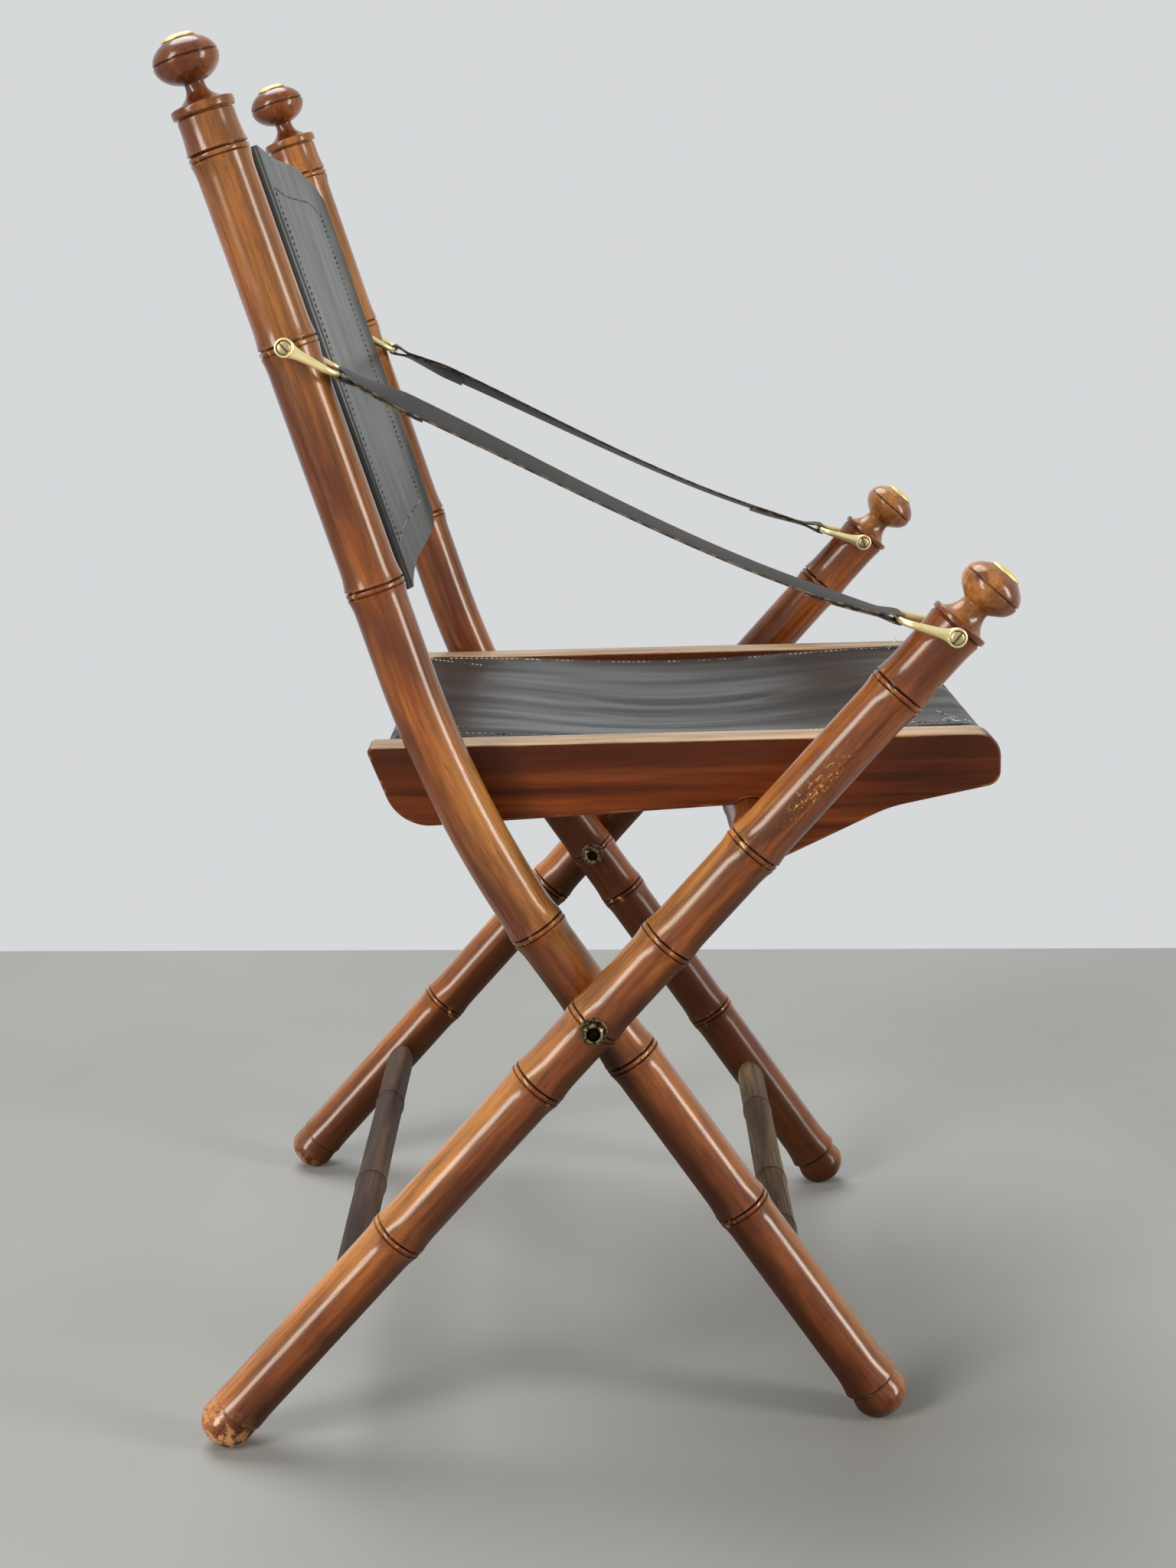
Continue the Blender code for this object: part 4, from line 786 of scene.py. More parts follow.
def shaped_board(name, node, shift):
    """Board: its outline carried from one face to the other through quarter rounds, closed by flat faces."""
    low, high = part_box(node)
    outline = board_outline()
    tangent = np.roll(outline, -1, 0) - np.roll(outline, 1, 0)
    outward = np.stack([tangent[:, 1], -tangent[:, 0]], 1)
    outward /= np.linalg.norm(outward, axis=1, keepdims=True)
    turn = np.linspace(0, math.pi / 2, 6)
    inset = BOARD_EDGE * (1 - np.sin(turn))
    sink = BOARD_EDGE * (1 - np.cos(turn))
    y = np.concatenate([low.y + sink, (high.y - sink)[::-1]])[:, None]
    inset = np.concatenate([inset, inset[::-1]])[:, None]
    u = outline[:, 0] - outward[:, 0] * inset
    v = outline[:, 1] - outward[:, 1] * inset
    points = from_seat(u, y, v)
    upward = np.clip((outward[:, 1] - 0.90) / 0.08, 0, 1) * (inset < 0.6 * BOARD_EDGE)
    rounded = np.clip(inset / BOARD_EDGE * 4 * (1 - inset / BOARD_EDGE), 0, 1) + 0 * u
    height = (v + BOARD_BOTTOM) / (BOARD_TOP + BOARD_BOTTOM)
    grain = np.stack([y + 0 * u + shift, v, u], -1)
    faces = grid_faces(*u.shape, True).tolist()
    faces.append(list(range(BOARD_POINTS)))
    faces.append(list(range((len(y) - 1) * BOARD_POINTS, len(y) * BOARD_POINTS)))
    marks = {"grain": grain, "bare": upward + 0 * u, "edge": rounded, "height": height}
    return piece(name, points, faces, marks, sharp=50)


def seat_wood(name, on_nodes):
    """Red-brown board wood with long dark figure, darker higher up, and pale and bare on the upper edge."""
    material, start = finish(name, {"IOR": 1.30, "Specular Tint": WARM_SHEEN, "Coat Roughness": 0.16})
    if on_nodes:
        grain = start.node("TexCoord", {}, {}, "Object")
    else:
        grain = start.mark("grain", "Vector")
    broad = grain.noise(70, 4.5, 3, 0.55)
    streak = grain.noise(260, 6, 3, 0.6)
    pores = grain.noise(1500, 42, 2, 0.5).between(0.61, 0.72)
    tone = broad * 0.66 + streak * 0.34
    colour = tone.between(0.38, 0.54).tint(srgb(66, 27, 11), srgb(104, 46, 18))
    colour = tone.between(0.52, 0.68).tint(colour, srgb(138, 70, 29))
    colour = (pores * 0.45).tint(colour, srgb(42, 21, 13))
    if not on_nodes:
        shade = start.mark("height").between(0.35, 0.80) * 0.75
        colour = shade.tint(colour, srgb(64, 27, 14))
        worn = start.mark("bare") * (0.55 + grain.noise(120, 10, 3, 0.6).between(0.34, 0.60) * 0.45)
        colour = worn.tint(colour, srgb(196, 166, 134))
        rubbed = start.mark("edge") * grain.noise(90, 30, 3, 0.6).between(0.48, 0.66)
        colour = (rubbed * 0.55).tint(colour, srgb(186, 128, 84))
    relief = streak * 0.4 - pores * 0.5 + grain.noise(60, 6, 2, 0.5) * 0.6
    return feed(material, {"Base Color": colour, "Roughness": streak * 0.2 + pores * 0.15 + 0.30,
                           "Coat Weight": 0.10 - pores * 0.08, "Normal": relief.bump(0.0004, 0.35)})


board_look = seat_wood("seat_board_wood", False)
rail_look = seat_wood("seat_rail_wood", True)
for number, (side, sign) in enumerate(SIDES):
    board = shaped_board(f"seat_board_{side}_shaped", f"seat_board_{side}", 0.2 + GRAIN_SHIFT * number)
    fit(board, board_look, "seat_wood", "seat_frame", f"seat_board_{side}")
for node in ("seat_rear_rail", "seat_front_rail"):
    refinish(node, rail_look)

# Seat leather
# One piece of black hide drawn tight over the rear and front rails between the boards and tacked below them.
# It sags in use, is creased along its middle, and has a sewn hem along each side with mitred corners.

LEATHER = 0.0025
SEAT_SAG = 0.0180
SEAT_EDGE_SAG = 0.0070
SEAT_WRAP_UNDER = 60.0      # degrees that the leather goes on round below each rail
SEAT_REAR_SETBACK = 0.0100
SEAT_FRONT_SETBACK = 0.0042
SEAT_RAIL_RADIUS = 0.0120
SEAT_SIDE_GAP = 0.0020
CREASE_DEPTH = 0.0008
HEM_WIDTH = 0.0120
HEM_RISE = 0.0006
SEAM_IN_HEM = 0.0020        # from the inner edge of a hem to its seam
SEAM_REAR = 0.0120          # from the top of the rear rail to the start of a side seam
SEAM_FRONT = 0.0100
MITRE = 0.0300
STITCH_PITCH = 0.0042
STITCH_LENGTH = 0.0030
THREAD_RADIUS = 0.00045
LOOSE_SHARE = 0.7           # of a stitch's thickness, on a loose end

board_inner = min(abs(corner.y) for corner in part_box("seat_board_left"))
seat_half = board_inner - SEAT_SIDE_GAP
seat_wrap = SEAT_RAIL_RADIUS + HOOK_CLEARANCE + LEATHER / 2
rail_height = BOARD_TOP - SEAT_RAIL_RADIUS - HOOK_CLEARANCE - LEATHER
rear_rail = SEAT_REAR_SETBACK + BOARD_TOP - rail_height - BOARD_REAR
front_rail = BOARD_FRONT - SEAT_FRONT_SETBACK - (BOARD_TOP - rail_height)
wrap_length = seat_wrap * (math.pi / 2 + math.radians(SEAT_WRAP_UNDER))
seat_run = front_rail - rear_rail
seat_length = 2 * wrap_length + seat_run


def seat_surface(along, y):
    """Middle of the seat leather by distance along it and across the chair: round the rear rail, a sag of
    squared sine form that is deeper in the middle, with shallow creases, and round the front rail."""
    before = np.clip(along / wrap_length, 0, 1)
    run = np.clip((along - wrap_length) / seat_run, 0, 1)
    after = np.clip((along - wrap_length - seat_run) / wrap_length, 0, 1)
    whole = math.pi / 2 + math.radians(SEAT_WRAP_UNDER)
    rear_turn = math.pi / 2 + whole * (1 - before)
    front_turn = math.pi / 2 - whole * after
    u = np.where(after > 0, front_rail + seat_wrap * np.cos(front_turn),
                 rear_rail + seat_wrap * np.cos(rear_turn) + seat_run * run)
    v = rail_height + seat_wrap * np.where(after > 0, np.sin(front_turn), np.sin(rear_turn))
    depth = SEAT_EDGE_SAG + (SEAT_SAG - SEAT_EDGE_SAG) * np.cos(math.pi * y / 2 / seat_half) ** 2
    sag = depth * np.sin(math.pi * run) ** 2
    window = np.exp(-((run - 0.52) / 0.24) ** 2) * np.exp(-((y + 0.01) / 0.085) ** 2)
    bend = 0.006 * np.sin(5.2 * run + 0.6) + 0.003 * np.sin(13 * run)
    crease = (np.sin((y + bend) * 205) + 0.6 * np.sin((y - bend * 1.4) * 340 + 1.1)
              + 0.5 * np.sin((y + 2.2 * bend) * 118 + 2.0))
    hem = HEM_RISE * np.clip((np.abs(y) - seat_half + HEM_WIDTH) / 0.0012 + 0.5, 0, 1)
    return from_seat(u, y, v - sag + CREASE_DEPTH * window * crease + hem * (after == 0) * (before == 1))


def stitch_row(name, surface_at, paths, look, carrier):
    """Row of stitches: small capsules, each a circle of changing radius carried over an arch of thread, set
    at even steps along paths on a surface and pulled a little into it."""
    seated = []
    for path in paths:
        fine = np.linspace(0, 1, 400)
        knots = np.linspace(0, 1, len(path))
        along = np.interp(fine, knots, [point[0] for point in path])
        across = np.interp(fine, knots, [point[1] for point in path])
        line = surface_at(along, across)
        nudge = 0.0005
        lift = np.cross(surface_at(along + nudge, across) - line, surface_at(along, across + nudge) - line)
        lift /= np.linalg.norm(lift, axis=1, keepdims=True)
        run = np.concatenate([[0], np.cumsum(np.linalg.norm(np.diff(line, axis=0), axis=1))])
        middle = np.arange(STITCH_PITCH / 2, run[-1], STITCH_PITCH)
        heading = np.gradient(line, axis=0)
        rows = [np.stack([np.interp(middle, run, values[:, k]) for k in range(3)], 1)
                for values in (line, lift, heading)]
        seated.append(np.stack(rows))
    centre, lift, heading = np.concatenate(seated, 1)
    heading /= np.linalg.norm(heading, axis=1, keepdims=True)
    lift /= np.linalg.norm(lift, axis=1, keepdims=True)
    side = np.cross(lift, heading)
    share = np.array([-1, -0.85, -0.3, 0.3, 0.85, 1])[:, None]
    thick = THREAD_RADIUS * np.array([0, 0.8, 1, 1, 0.8, 0])[:, None]
    around = np.linspace(0, 2 * math.pi, 6, endpoint=False)[None, :]
    rise = LEATHER / 2 + THREAD_RADIUS * (0.9 - 1.6 * share ** 2) + thick * np.cos(around)
    offsets = (STITCH_LENGTH / 2 * share + 0 * around, rise, thick * np.sin(around))
    points = centre[:, None, None, :] + sum(
        direction[:, None, None, :] * offset[None, :, :, None]
        for direction, offset in zip((heading, lift, side), offsets))
    one = grid_faces(6, 6, True)
    faces = (one[None] + 36 * np.arange(len(centre))[:, None, None]).reshape(-1, 4).tolist()
    return fit(piece(name, points, faces), look, "black_leather", carrier)


def hide(name, dark, light, brown, wear, polish, drawing):
    """Black hide: a fine pebbled grain under a thin dressing that is polished in long streaks, brown and dull
    where the dye has rubbed thin, and with pale scuffs on its cut edges."""
    material, start = finish(name, {"IOR": 1.32, "Coat Roughness": 0.24})
    flat = start.mark("flat", "Vector")
    cloud = flat.noise(9, 9, 4, 0.6)
    pebble = start.node("TexVoronoi", {"feature": "F1"}, {"Vector": flat, "Scale": 900.0})
    fine = flat.noise(420, 420, 3, 0.6)
    drawn = start.node("VectorMath", {"operation": "MULTIPLY"}, {0: flat, 1: (4.0, 26.0, 1.0)})
    streak = drawn.noise(1, 1, 2, 0.5)
    brownish = start.mark("brown") * cloud.between(0.24, 0.50)
    colour = cloud.between(0.30, 0.70).tint(dark, light)
    colour = (brownish * 0.85).tint(colour, brown)
    colour = (streak.between(0.52, 0.70) * drawing).tint(colour, srgb(18, 18, 18))
    scuffed = start.mark("edge") * flat.noise(150, 150, 3, 0.6).between(0.44, 0.62) * wear
    colour = scuffed.tint(colour, srgb(120, 102, 80))
    dressing = (streak.between(0.64, 0.36) * drawing + (cloud * 0.7 + 0.3) * (1 - drawing)) * polish
    relief = pebble * 0.30 + fine * 0.3 + streak * drawing
    rough = fine * 0.15 + cloud * 0.2 + brownish * 0.3 + 0.42
    return feed(material, {"Base Color": colour, "Roughness": rough,
                           "Coat Weight": dressing * (1 - brownish * 0.9),
                           "Normal": relief.bump(0.00025, 0.5)})


def waxed_thread(name, dark, pale):
    """Waxed linen thread, pale grey with darker twist and dirt."""
    material, start = finish(name, {"IOR": 1.45})
    place = start.node("TexCoord", {}, {}, "Object")
    dirt = place.noise(70, 70, 4, 0.6)
    colour = dirt.between(0.40, 0.60).tint(dark, pale)
    return feed(material, {"Base Color": colour, "Roughness": dirt * 0.3 + 0.45})


def flat_cut(along, across):
    """Place of each point on the hide before it was bent: distance along it and across it."""
    along, across = np.broadcast_arrays(along, across)
    return np.stack([along, across, 0 * along], -1)


seat_along = np.unique(np.concatenate([np.linspace(0, wrap_length, 24),
                                       np.linspace(wrap_length, wrap_length + seat_run, 150),
                                       np.linspace(wrap_length + seat_run, seat_length, 24)]))[:, None]
seat_across = np.unique(np.concatenate([np.linspace(-seat_half, seat_half, 140),
                                        seat_half - HEM_WIDTH + np.linspace(-0.001, 0.001, 5),
                                        HEM_WIDTH - seat_half + np.linspace(-0.001, 0.001, 5)]))[None, :]
share_along = (seat_along - wrap_length) / seat_run
seat_brown = np.clip(np.exp(-((share_along - 0.06) / 0.08) ** 2) + np.exp(-((share_along - 0.84) / 0.17) ** 2)
                     * np.exp(-((seat_across - 0.01) / 0.17) ** 2)
                     + 0.75 * np.exp(-((seat_across - seat_half + 0.008) / 0.030) ** 2), 0, 1)
seat_edge = np.clip((np.abs(seat_across) - seat_half + 0.0016) / 0.0016, 0, 1) + 0 * seat_along
seat_sling = surface("seat_leather", seat_surface(seat_along, seat_across),
                     marks={"flat": flat_cut(seat_along, seat_across), "brown": seat_brown,
                            "edge": seat_edge})


def thicken(body):
    """Gives a sheet of leather its thickness, half on each side, with slightly rounded cut edges."""
    solid = body.modifiers.new("thickness", "SOLIDIFY")
    solid.thickness = LEATHER
    solid.offset = 0
    edge = body.modifiers.new("cut_edges", "BEVEL")
    edge.width = 0.0006
    edge.segments = 2
    edge.limit_method = "ANGLE"
    edge.angle_limit = math.radians(60)


thicken(seat_sling)
seat_look = hide("seat_hide", srgb(24, 26, 25), srgb(40, 42, 41), srgb(50, 36, 26), 0.5, 0.75, 0.70)
fit(seat_sling, seat_look, "black_leather", "seat_frame", "seat_sling")
thread_look = waxed_thread("waxed_thread", srgb(52, 53, 51), srgb(190, 190, 182))
hem_line = seat_half - HEM_WIDTH + SEAM_IN_HEM
hem_start, hem_end = wrap_length + SEAM_REAR, wrap_length + seat_run - SEAM_FRONT
seat_paths = []
for way in (-1, 1):
    seat_paths.append([(hem_start, way * hem_line), (hem_end, way * hem_line)])
    seat_paths.append([(wrap_length - 0.010, way * (seat_half - 0.004)),
                       (hem_start + MITRE, way * (hem_line - MITRE))])
    seat_paths.append([(hem_end + 0.014, way * (hem_line + 0.002)),
                       (hem_end + 0.004, way * (hem_line - 0.016)),
                       (hem_end - 0.004, way * (hem_line - 0.040))])
seat_stitches = stitch_row("seat_stitches", seat_surface, seat_paths, thread_look, "seat_frame")


def close_ends(line, rings):
    """Rings round a line, with one more at each end that is drawn together to a point."""
    first = line[:1, None, :] + 0 * rings[:1]
    last = line[-1:, None, :] + 0 * rings[-1:]
    return np.concatenate([first, rings, last])


def thread_end(name, knots, look, carrier):
    """Loose end of thread: a thin circle carried along a smooth curve through points, each given by distance
    along the seat leather, across it and above it."""
    steps = np.linspace(0, len(knots) - 1, 40)
    low = np.minimum(steps.astype(int), len(knots) - 2)
    part = (steps - low)[:, None]
    padded = np.array([knots[0], *knots, knots[-1]], float)
    p0, p1, p2, p3 = (padded[low + k] for k in range(4))
    bend = 2 * p0 - 5 * p1 + 4 * p2 - p3 + part * (3 * (p1 - p2) + p3 - p0)
    curve = p1 + 0.5 * part * (p2 - p0 + part * bend)
    line = seat_surface(curve[:, 0], curve[:, 1]) + np.array([0, 0, 1.0]) * (curve[:, 2:] + LEATHER / 2)
    heading = np.gradient(line, axis=0)
    heading /= np.linalg.norm(heading, axis=1, keepdims=True)
    side = np.cross(heading, [0.31, 0.67, 0.67])
    side /= np.linalg.norm(side, axis=1, keepdims=True)
    lift = np.cross(side, heading)
    around = np.linspace(0, 2 * math.pi, 8, endpoint=False)[None, :, None]
    outward = side[:, None, :] * np.cos(around) + lift[:, None, :] * np.sin(around)
    rings = close_ends(line, line[:, None, :] + LOOSE_SHARE * THREAD_RADIUS * outward)
    return fit(surface(name, rings, wrap=True), look, "black_leather", carrier)


loose_look = waxed_thread("loose_thread", srgb(168, 168, 162), srgb(226, 226, 220))
right_knots = [(hem_end - 0.004, -hem_line + 0.006, 0.0004), (hem_end - 0.001, -hem_line + 0.002, 0.0024),
               (hem_end + 0.003, -hem_line - 0.003, 0.0006), (hem_end + 0.007, -hem_line - 0.004, 0.0012)]
left_knots = [(hem_end - 0.004, hem_line - 0.004, 0.0004), (hem_end - 0.001, hem_line, 0.0035),
              (hem_end + 0.003, hem_line + 0.002, 0.0060), (hem_end + 0.001, hem_line + 0.003, 0.0085)]
right_end = thread_end("seat_thread_end_right", right_knots, loose_look, "seat_frame")
left_end = thread_end("seat_thread_end_left", left_knots, loose_look, "seat_frame")
seat_length + 0.006

# Back leather
# A second hide between the posts: its edges are held in slots along them, it comes forward over a roll at
# each side and hangs in a shallow curve between the rolls, with a row of stitches inside its hems.

BACK_LOW = 0.3180           # stations of its lower and upper edges
BACK_HIGH = 0.6140
BACK_SAG = 0.0050
BACK_SLOT_SETBACK = 0.0090
BACK_SLOT_DEPTH = 0.0060
BACK_SLOT_GAP = 0.0003      # between the leather's edge and the bottom of its slot
BACK_SCREW_GAP = 0.0010     # between the leather and the screws beside it
BACK_ROLL_AHEAD = {"left": 0.0130, "right": 0.0195}
BACK_ROLL_RADIUS = 0.0035
BACK_HEM = 0.0270

screw_end = min(corner.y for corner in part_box("back_shackle_screw_inner_left"))
back_wall = screw_end - BACK_SCREW_GAP - LEATHER / 2
back_edge = post_y - math.sqrt(POLE_RADIUS ** 2 - BACK_SLOT_SETBACK ** 2)
back_inner = back_wall - BACK_ROLL_RADIUS
quarter = np.linspace(0, math.pi / 2, 12)
side_y = np.concatenate([[back_edge + BACK_SLOT_DEPTH - BACK_SLOT_GAP, back_edge],
                         back_wall + BACK_ROLL_RADIUS * (1 - np.sin(quarter)),
                         back_wall - BACK_ROLL_RADIUS * (1 - np.cos(quarter))])
side_ahead = {side: np.concatenate([np.full(2, -BACK_SLOT_SETBACK),
                                    BACK_ROLL_RADIUS * (1 - np.cos(quarter)) - BACK_SLOT_SETBACK,
                                    ahead - BACK_ROLL_RADIUS * (1 - np.sin(quarter))])
              for side, ahead in BACK_ROLL_AHEAD.items()}
line_y = np.concatenate([side_y, -side_y[::-1]])
line_ahead = np.concatenate([side_ahead["left"], side_ahead["right"][::-1]])
line_run = np.concatenate([[0], np.cumsum(np.hypot(np.diff(line_y), np.diff(line_ahead)))])
back_width = line_run[-1]


def back_surface(share, across):
    """Middle of the back leather by share of its height and distance across it from slot to slot: the curve
    from slot to slot is carried up the posts and set back by a parabola between the rolls. Power curves round
    off the left corners and let the right ones stand out, and slow waves run up it."""
    y = np.interp(across, line_run, line_y)
    belly = np.clip(1 - (y / back_inner) ** 2, 0, 1)
    ahead = np.interp(across, line_run, line_ahead) - BACK_SAG * belly * (0.6 + 0.4 * np.sin(math.pi * share))
    ahead = ahead + 0.0006 * belly * np.sin(34 * y + 4 * share) * np.cos(3.1 * share)
    low = (BACK_LOW + 0.013 * np.clip((y - 0.125) / 0.060, 0, 1) ** 2.5
           - 0.005 * np.clip((-y - 0.110) / 0.075, 0, 1) ** 2)
    high = (BACK_HIGH - 0.024 * np.clip((y - 0.040) / 0.145, 0, 1) ** 2.2
            + 0.002 * np.clip((-y - 0.10) / 0.08, 0, 1))
    x, z, angle = along_post(low + (high - low) * share)
    return np.stack([x + ahead * np.sin(angle), y + 0 * x, z - ahead * np.cos(angle)], -1)


back_across = np.unique(np.concatenate([line_run, np.linspace(0, back_width, 140)]))[None, :]
back_share = np.linspace(0, 1, 120)[:, None]
back_flat = flat_cut((BACK_HIGH - BACK_LOW) * back_share, back_across)
near_edge = np.minimum(back_share, 1 - back_share) + 0 * back_across
back_brown = np.clip(0.6 * np.exp(-(back_share / 0.24) ** 2)
                     + 0.8 * np.exp(-((back_across - 0.050) / 0.035) ** 2), 0, 1)
back_sling = surface("back_leather", back_surface(back_share, back_across),
                     marks={"flat": back_flat, "brown": back_brown,
                            "edge": np.clip(1 - near_edge / 0.006, 0, 1)})
thicken(back_sling)
back_look = hide("back_hide", srgb(50, 53, 52), srgb(66, 70, 69), srgb(60, 56, 50), 0.4, 0.80, 0.2)
fit(back_sling, back_look, "black_leather", "back_frame", "back_sling")
hem_share = BACK_HEM / (BACK_HIGH - BACK_LOW)
left_hem, right_hem = np.interp([-0.125, 0.165], -line_y, line_run)
hem_corners = [(hem_share, left_hem), (hem_share, right_hem),
               (1 - hem_share, right_hem), (1 - hem_share, left_hem)]
back_paths = [[corner, hem_corners[(place + 1) % 4]] for place, corner in enumerate(hem_corners)]
dark_thread_look = waxed_thread("dark_thread", srgb(30, 31, 30), srgb(150, 150, 144))
back_stitches = stitch_row("back_stitches", back_surface, back_paths, dark_thread_look, "back_frame")

# Shackles and their screws
# Cast brass bows whose two eyes straddle a band of a back post or the end of an arm pole, each held by two
# slotted screws that sit in the eyes. The arms thin from the eyes to the bow that carries the strap.

SHACKLE_LENGTH = 0.0365     # from the screws to the bow
SHACKLE_BOW = 0.0021        # half the thickness of the bow
SHACKLE_ROOT = 0.0038       # half the width of an arm where it joins its eye
SHACKLE_CORNER = 0.0090
SHACKLE_ARM_START = 0.0030  # from the screws to where an arm leaves its eye
SHACKLE_FLARE = 0.0022      # how much more the half width is there
SHACKLE_FLARE_REACH = 0.0034
EYE_RADIUS = 0.0065
EYE_WELL = 0.0049           # radius of the sunk seat for the screw's head
EYE_BORE = 0.0023
SCREW_RADIUS = 0.0044
SCREW_RISE = 0.0016
SCREW_SUNK = 0.0008         # of a head's top below the end of its solid
SCREW_SLOT_HALF = 0.00055
SCREW_SLOT_DEPTH = 0.0009
SLOT_TURNS = {"arm_outer": -38, "arm_inner": 20, "back_outer": 42, "back_inner": -15}     # degrees
EYE_STACK = 0.0063          # from the top of a screw's head to the inner face of its eye
SHACKLE_RISE = {"back": -28.0, "arm": 164.0}      # degrees up from straight ahead, screws to bow


def bow_points(x, z, y, rise, arm_reach):
    """Bow: an ellipse carried along a path that runs out from one eye, round a quarter turn, across, and
    back to the other eye. Its width shrinks along the arms by a power curve."""
    straight = np.linspace(SHACKLE_ARM_START, SHACKLE_LENGTH - SHACKLE_CORNER, 24)
    turn = np.linspace(0, math.pi / 2, 14)[1:]
    out = np.concatenate([straight, SHACKLE_LENGTH - SHACKLE_CORNER * (1 - np.sin(turn))])
    side = np.concatenate([np.full(24, arm_reach), arm_reach - SHACKLE_CORNER * (1 - np.cos(turn))])
    out = np.concatenate([out, out[::-1]])[:, None]
    side = np.concatenate([side, -side[::-1]])[:, None]
    heading = np.arctan2(np.gradient(side[:, 0]), np.gradient(out[:, 0]))[:, None]
    share = np.clip((out - SHACKLE_ARM_START) / (SHACKLE_LENGTH - SHACKLE_ARM_START), 0, 1)
    flare = SHACKLE_FLARE * np.exp(-(out - SHACKLE_ARM_START) / SHACKLE_FLARE_REACH)
    wide = SHACKLE_BOW + (SHACKLE_ROOT - SHACKLE_BOW) * (1 - share) ** 1.2 + flare
    around = np.linspace(0, 2 * math.pi, 20, endpoint=False)[None, :]
    across = SHACKLE_BOW * np.cos(around)
    ahead = out - across * np.sin(heading)
    sideways = side + across * np.cos(heading)
    upward = wide * np.sin(around)
    ends = np.stack([ahead, sideways, upward], -1)
    ends = np.concatenate([ends[:1].mean(1, keepdims=True) + 0 * ends[:1], ends,
                           ends[-1:].mean(1, keepdims=True) + 0 * ends[-1:]])
    return place_shackle(ends, x, z, y, rise)


def place_shackle(local, x, z, y, rise):
    """World points from a shackle's own axes: out along its arms, across the chair, and square to both."""
    ahead, sideways, upward = local[..., 0], local[..., 1], local[..., 2]
    return np.stack([x + ahead * math.cos(rise) - upward * math.sin(rise), y + sideways,
                     z + ahead * math.sin(rise) + upward * math.cos(rise)], -1)


def eye_points(gap, thickness, sign):
    """Eye: a closed section with rounded rims and a sunk seat, carried round the screw's axis."""
    rim = 0.0007
    well = 0.0014
    radius = np.array([EYE_BORE, EYE_BORE, EYE_WELL, EYE_WELL, EYE_WELL + 0.0003, EYE_RADIUS - rim,
                       EYE_RADIUS - 0.0002, EYE_RADIUS, EYE_RADIUS, EYE_RADIUS - rim, EYE_BORE])
    height = np.array([0, thickness - well, thickness - well, thickness - 0.0002, thickness, thickness,
                       thickness - 0.0003, thickness - rim, rim, 0, 0])
    hollow = np.array([1, 1, 1, 0.9, 0.15, 0, 0, 0, 0.2, 0.4, 1])
    around = np.linspace(0, 2 * math.pi, 40, endpoint=False)[None, :]
    points = np.stack([radius[:, None] * np.cos(around), sign * (gap + height[:, None]) + 0 * around,
                       radius[:, None] * np.sin(around)], -1)
    return points, hollow[:, None] + 0 * around


def shackle(name, node, joint, y, rise, pole_half):
    """Whole shackle in one mesh: the bow and its two eyes."""
    x, _, z = joints[joint]["pos_m"]
    low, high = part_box(node)
    reach = (high.y - low.y) / 2
    thickness = reach - pole_half
    bow = bow_points(x, z, y, rise, reach - thickness / 2)
    parts = [bow.reshape(-1, 3)]
    hollows = [np.zeros(len(parts[0]))]
    faces = [grid_faces(*bow.shape[:2], True)]
    for sign in (-1, 1):
        eye, hollow = eye_points(pole_half, thickness, sign)
        start = sum(len(part) for part in parts)
        parts.append(place_shackle(eye, x, z, y, rise).reshape(-1, 3))
        hollows.append(hollow.ravel())
        faces.append(grid_faces(*eye.shape[:2], True) + start)
    marks = {"hollow": np.concatenate(hollows)}
    return piece(name, np.concatenate(parts), np.concatenate(faces).tolist(), marks, 35)


def slotted_head(name, node, sign, slot_turn):
    """Screw head: a disc mapped from a square, domed by a superellipse with a slot sunk across it, and closed
    below by the same disc laid flat."""
    low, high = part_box(node)
    x, z = (low.x + high.x) / 2, (low.z + high.z) / 2
    top = high.y if sign > 0 else low.y
    slot_edges = np.arcsin(np.array([0.6, 0.85, 1.15, 1.4]) * SCREW_SLOT_HALF / SCREW_RADIUS)
    column = np.unique(np.concatenate([np.linspace(-math.pi / 2, math.pi / 2, 31), slot_edges, -slot_edges]))
    row = np.linspace(-math.pi / 2, math.pi / 2, 31)[:, None]
    across = SCREW_RADIUS * np.sin(column) + 0 * row
    along = SCREW_RADIUS * np.cos(column) * np.sin(row)
    reach = np.clip(np.hypot(across, along) / SCREW_RADIUS, 0, 1)
    slot = np.clip((1.4 - np.abs(across) / SCREW_SLOT_HALF) / 0.8, 0, 1)
    slot = slot * slot * (3 - 2 * slot)
    dome = SCREW_RISE * (1 - reach ** 7) ** 0.35 * (1 - 0.25 * reach ** 2)
    face = np.maximum(dome - SCREW_SLOT_DEPTH * slot, 0)
    base = top - sign * (SCREW_RISE + SCREW_SUNK)
    turn = math.radians(slot_turn)
    disc = np.stack([x + across * math.cos(turn) - along * math.sin(turn), base + sign * face,
                     z + across * math.sin(turn) + along * math.cos(turn)], -1)
    under = disc.copy()
    under[..., 1] = base
    count = disc.shape[0] * disc.shape[1]
    one = grid_faces(*disc.shape[:2], False)
    faces = np.concatenate([one, one[:, ::-1] + count]).tolist()
    hollow = np.concatenate([(0.9 * slot + 0.5 * reach ** 14).ravel(), np.ones(count)])
    points = np.concatenate([disc.reshape(-1, 3), under.reshape(-1, 3)])
    return piece(name, points, faces, {"hollow": hollow}, 50)


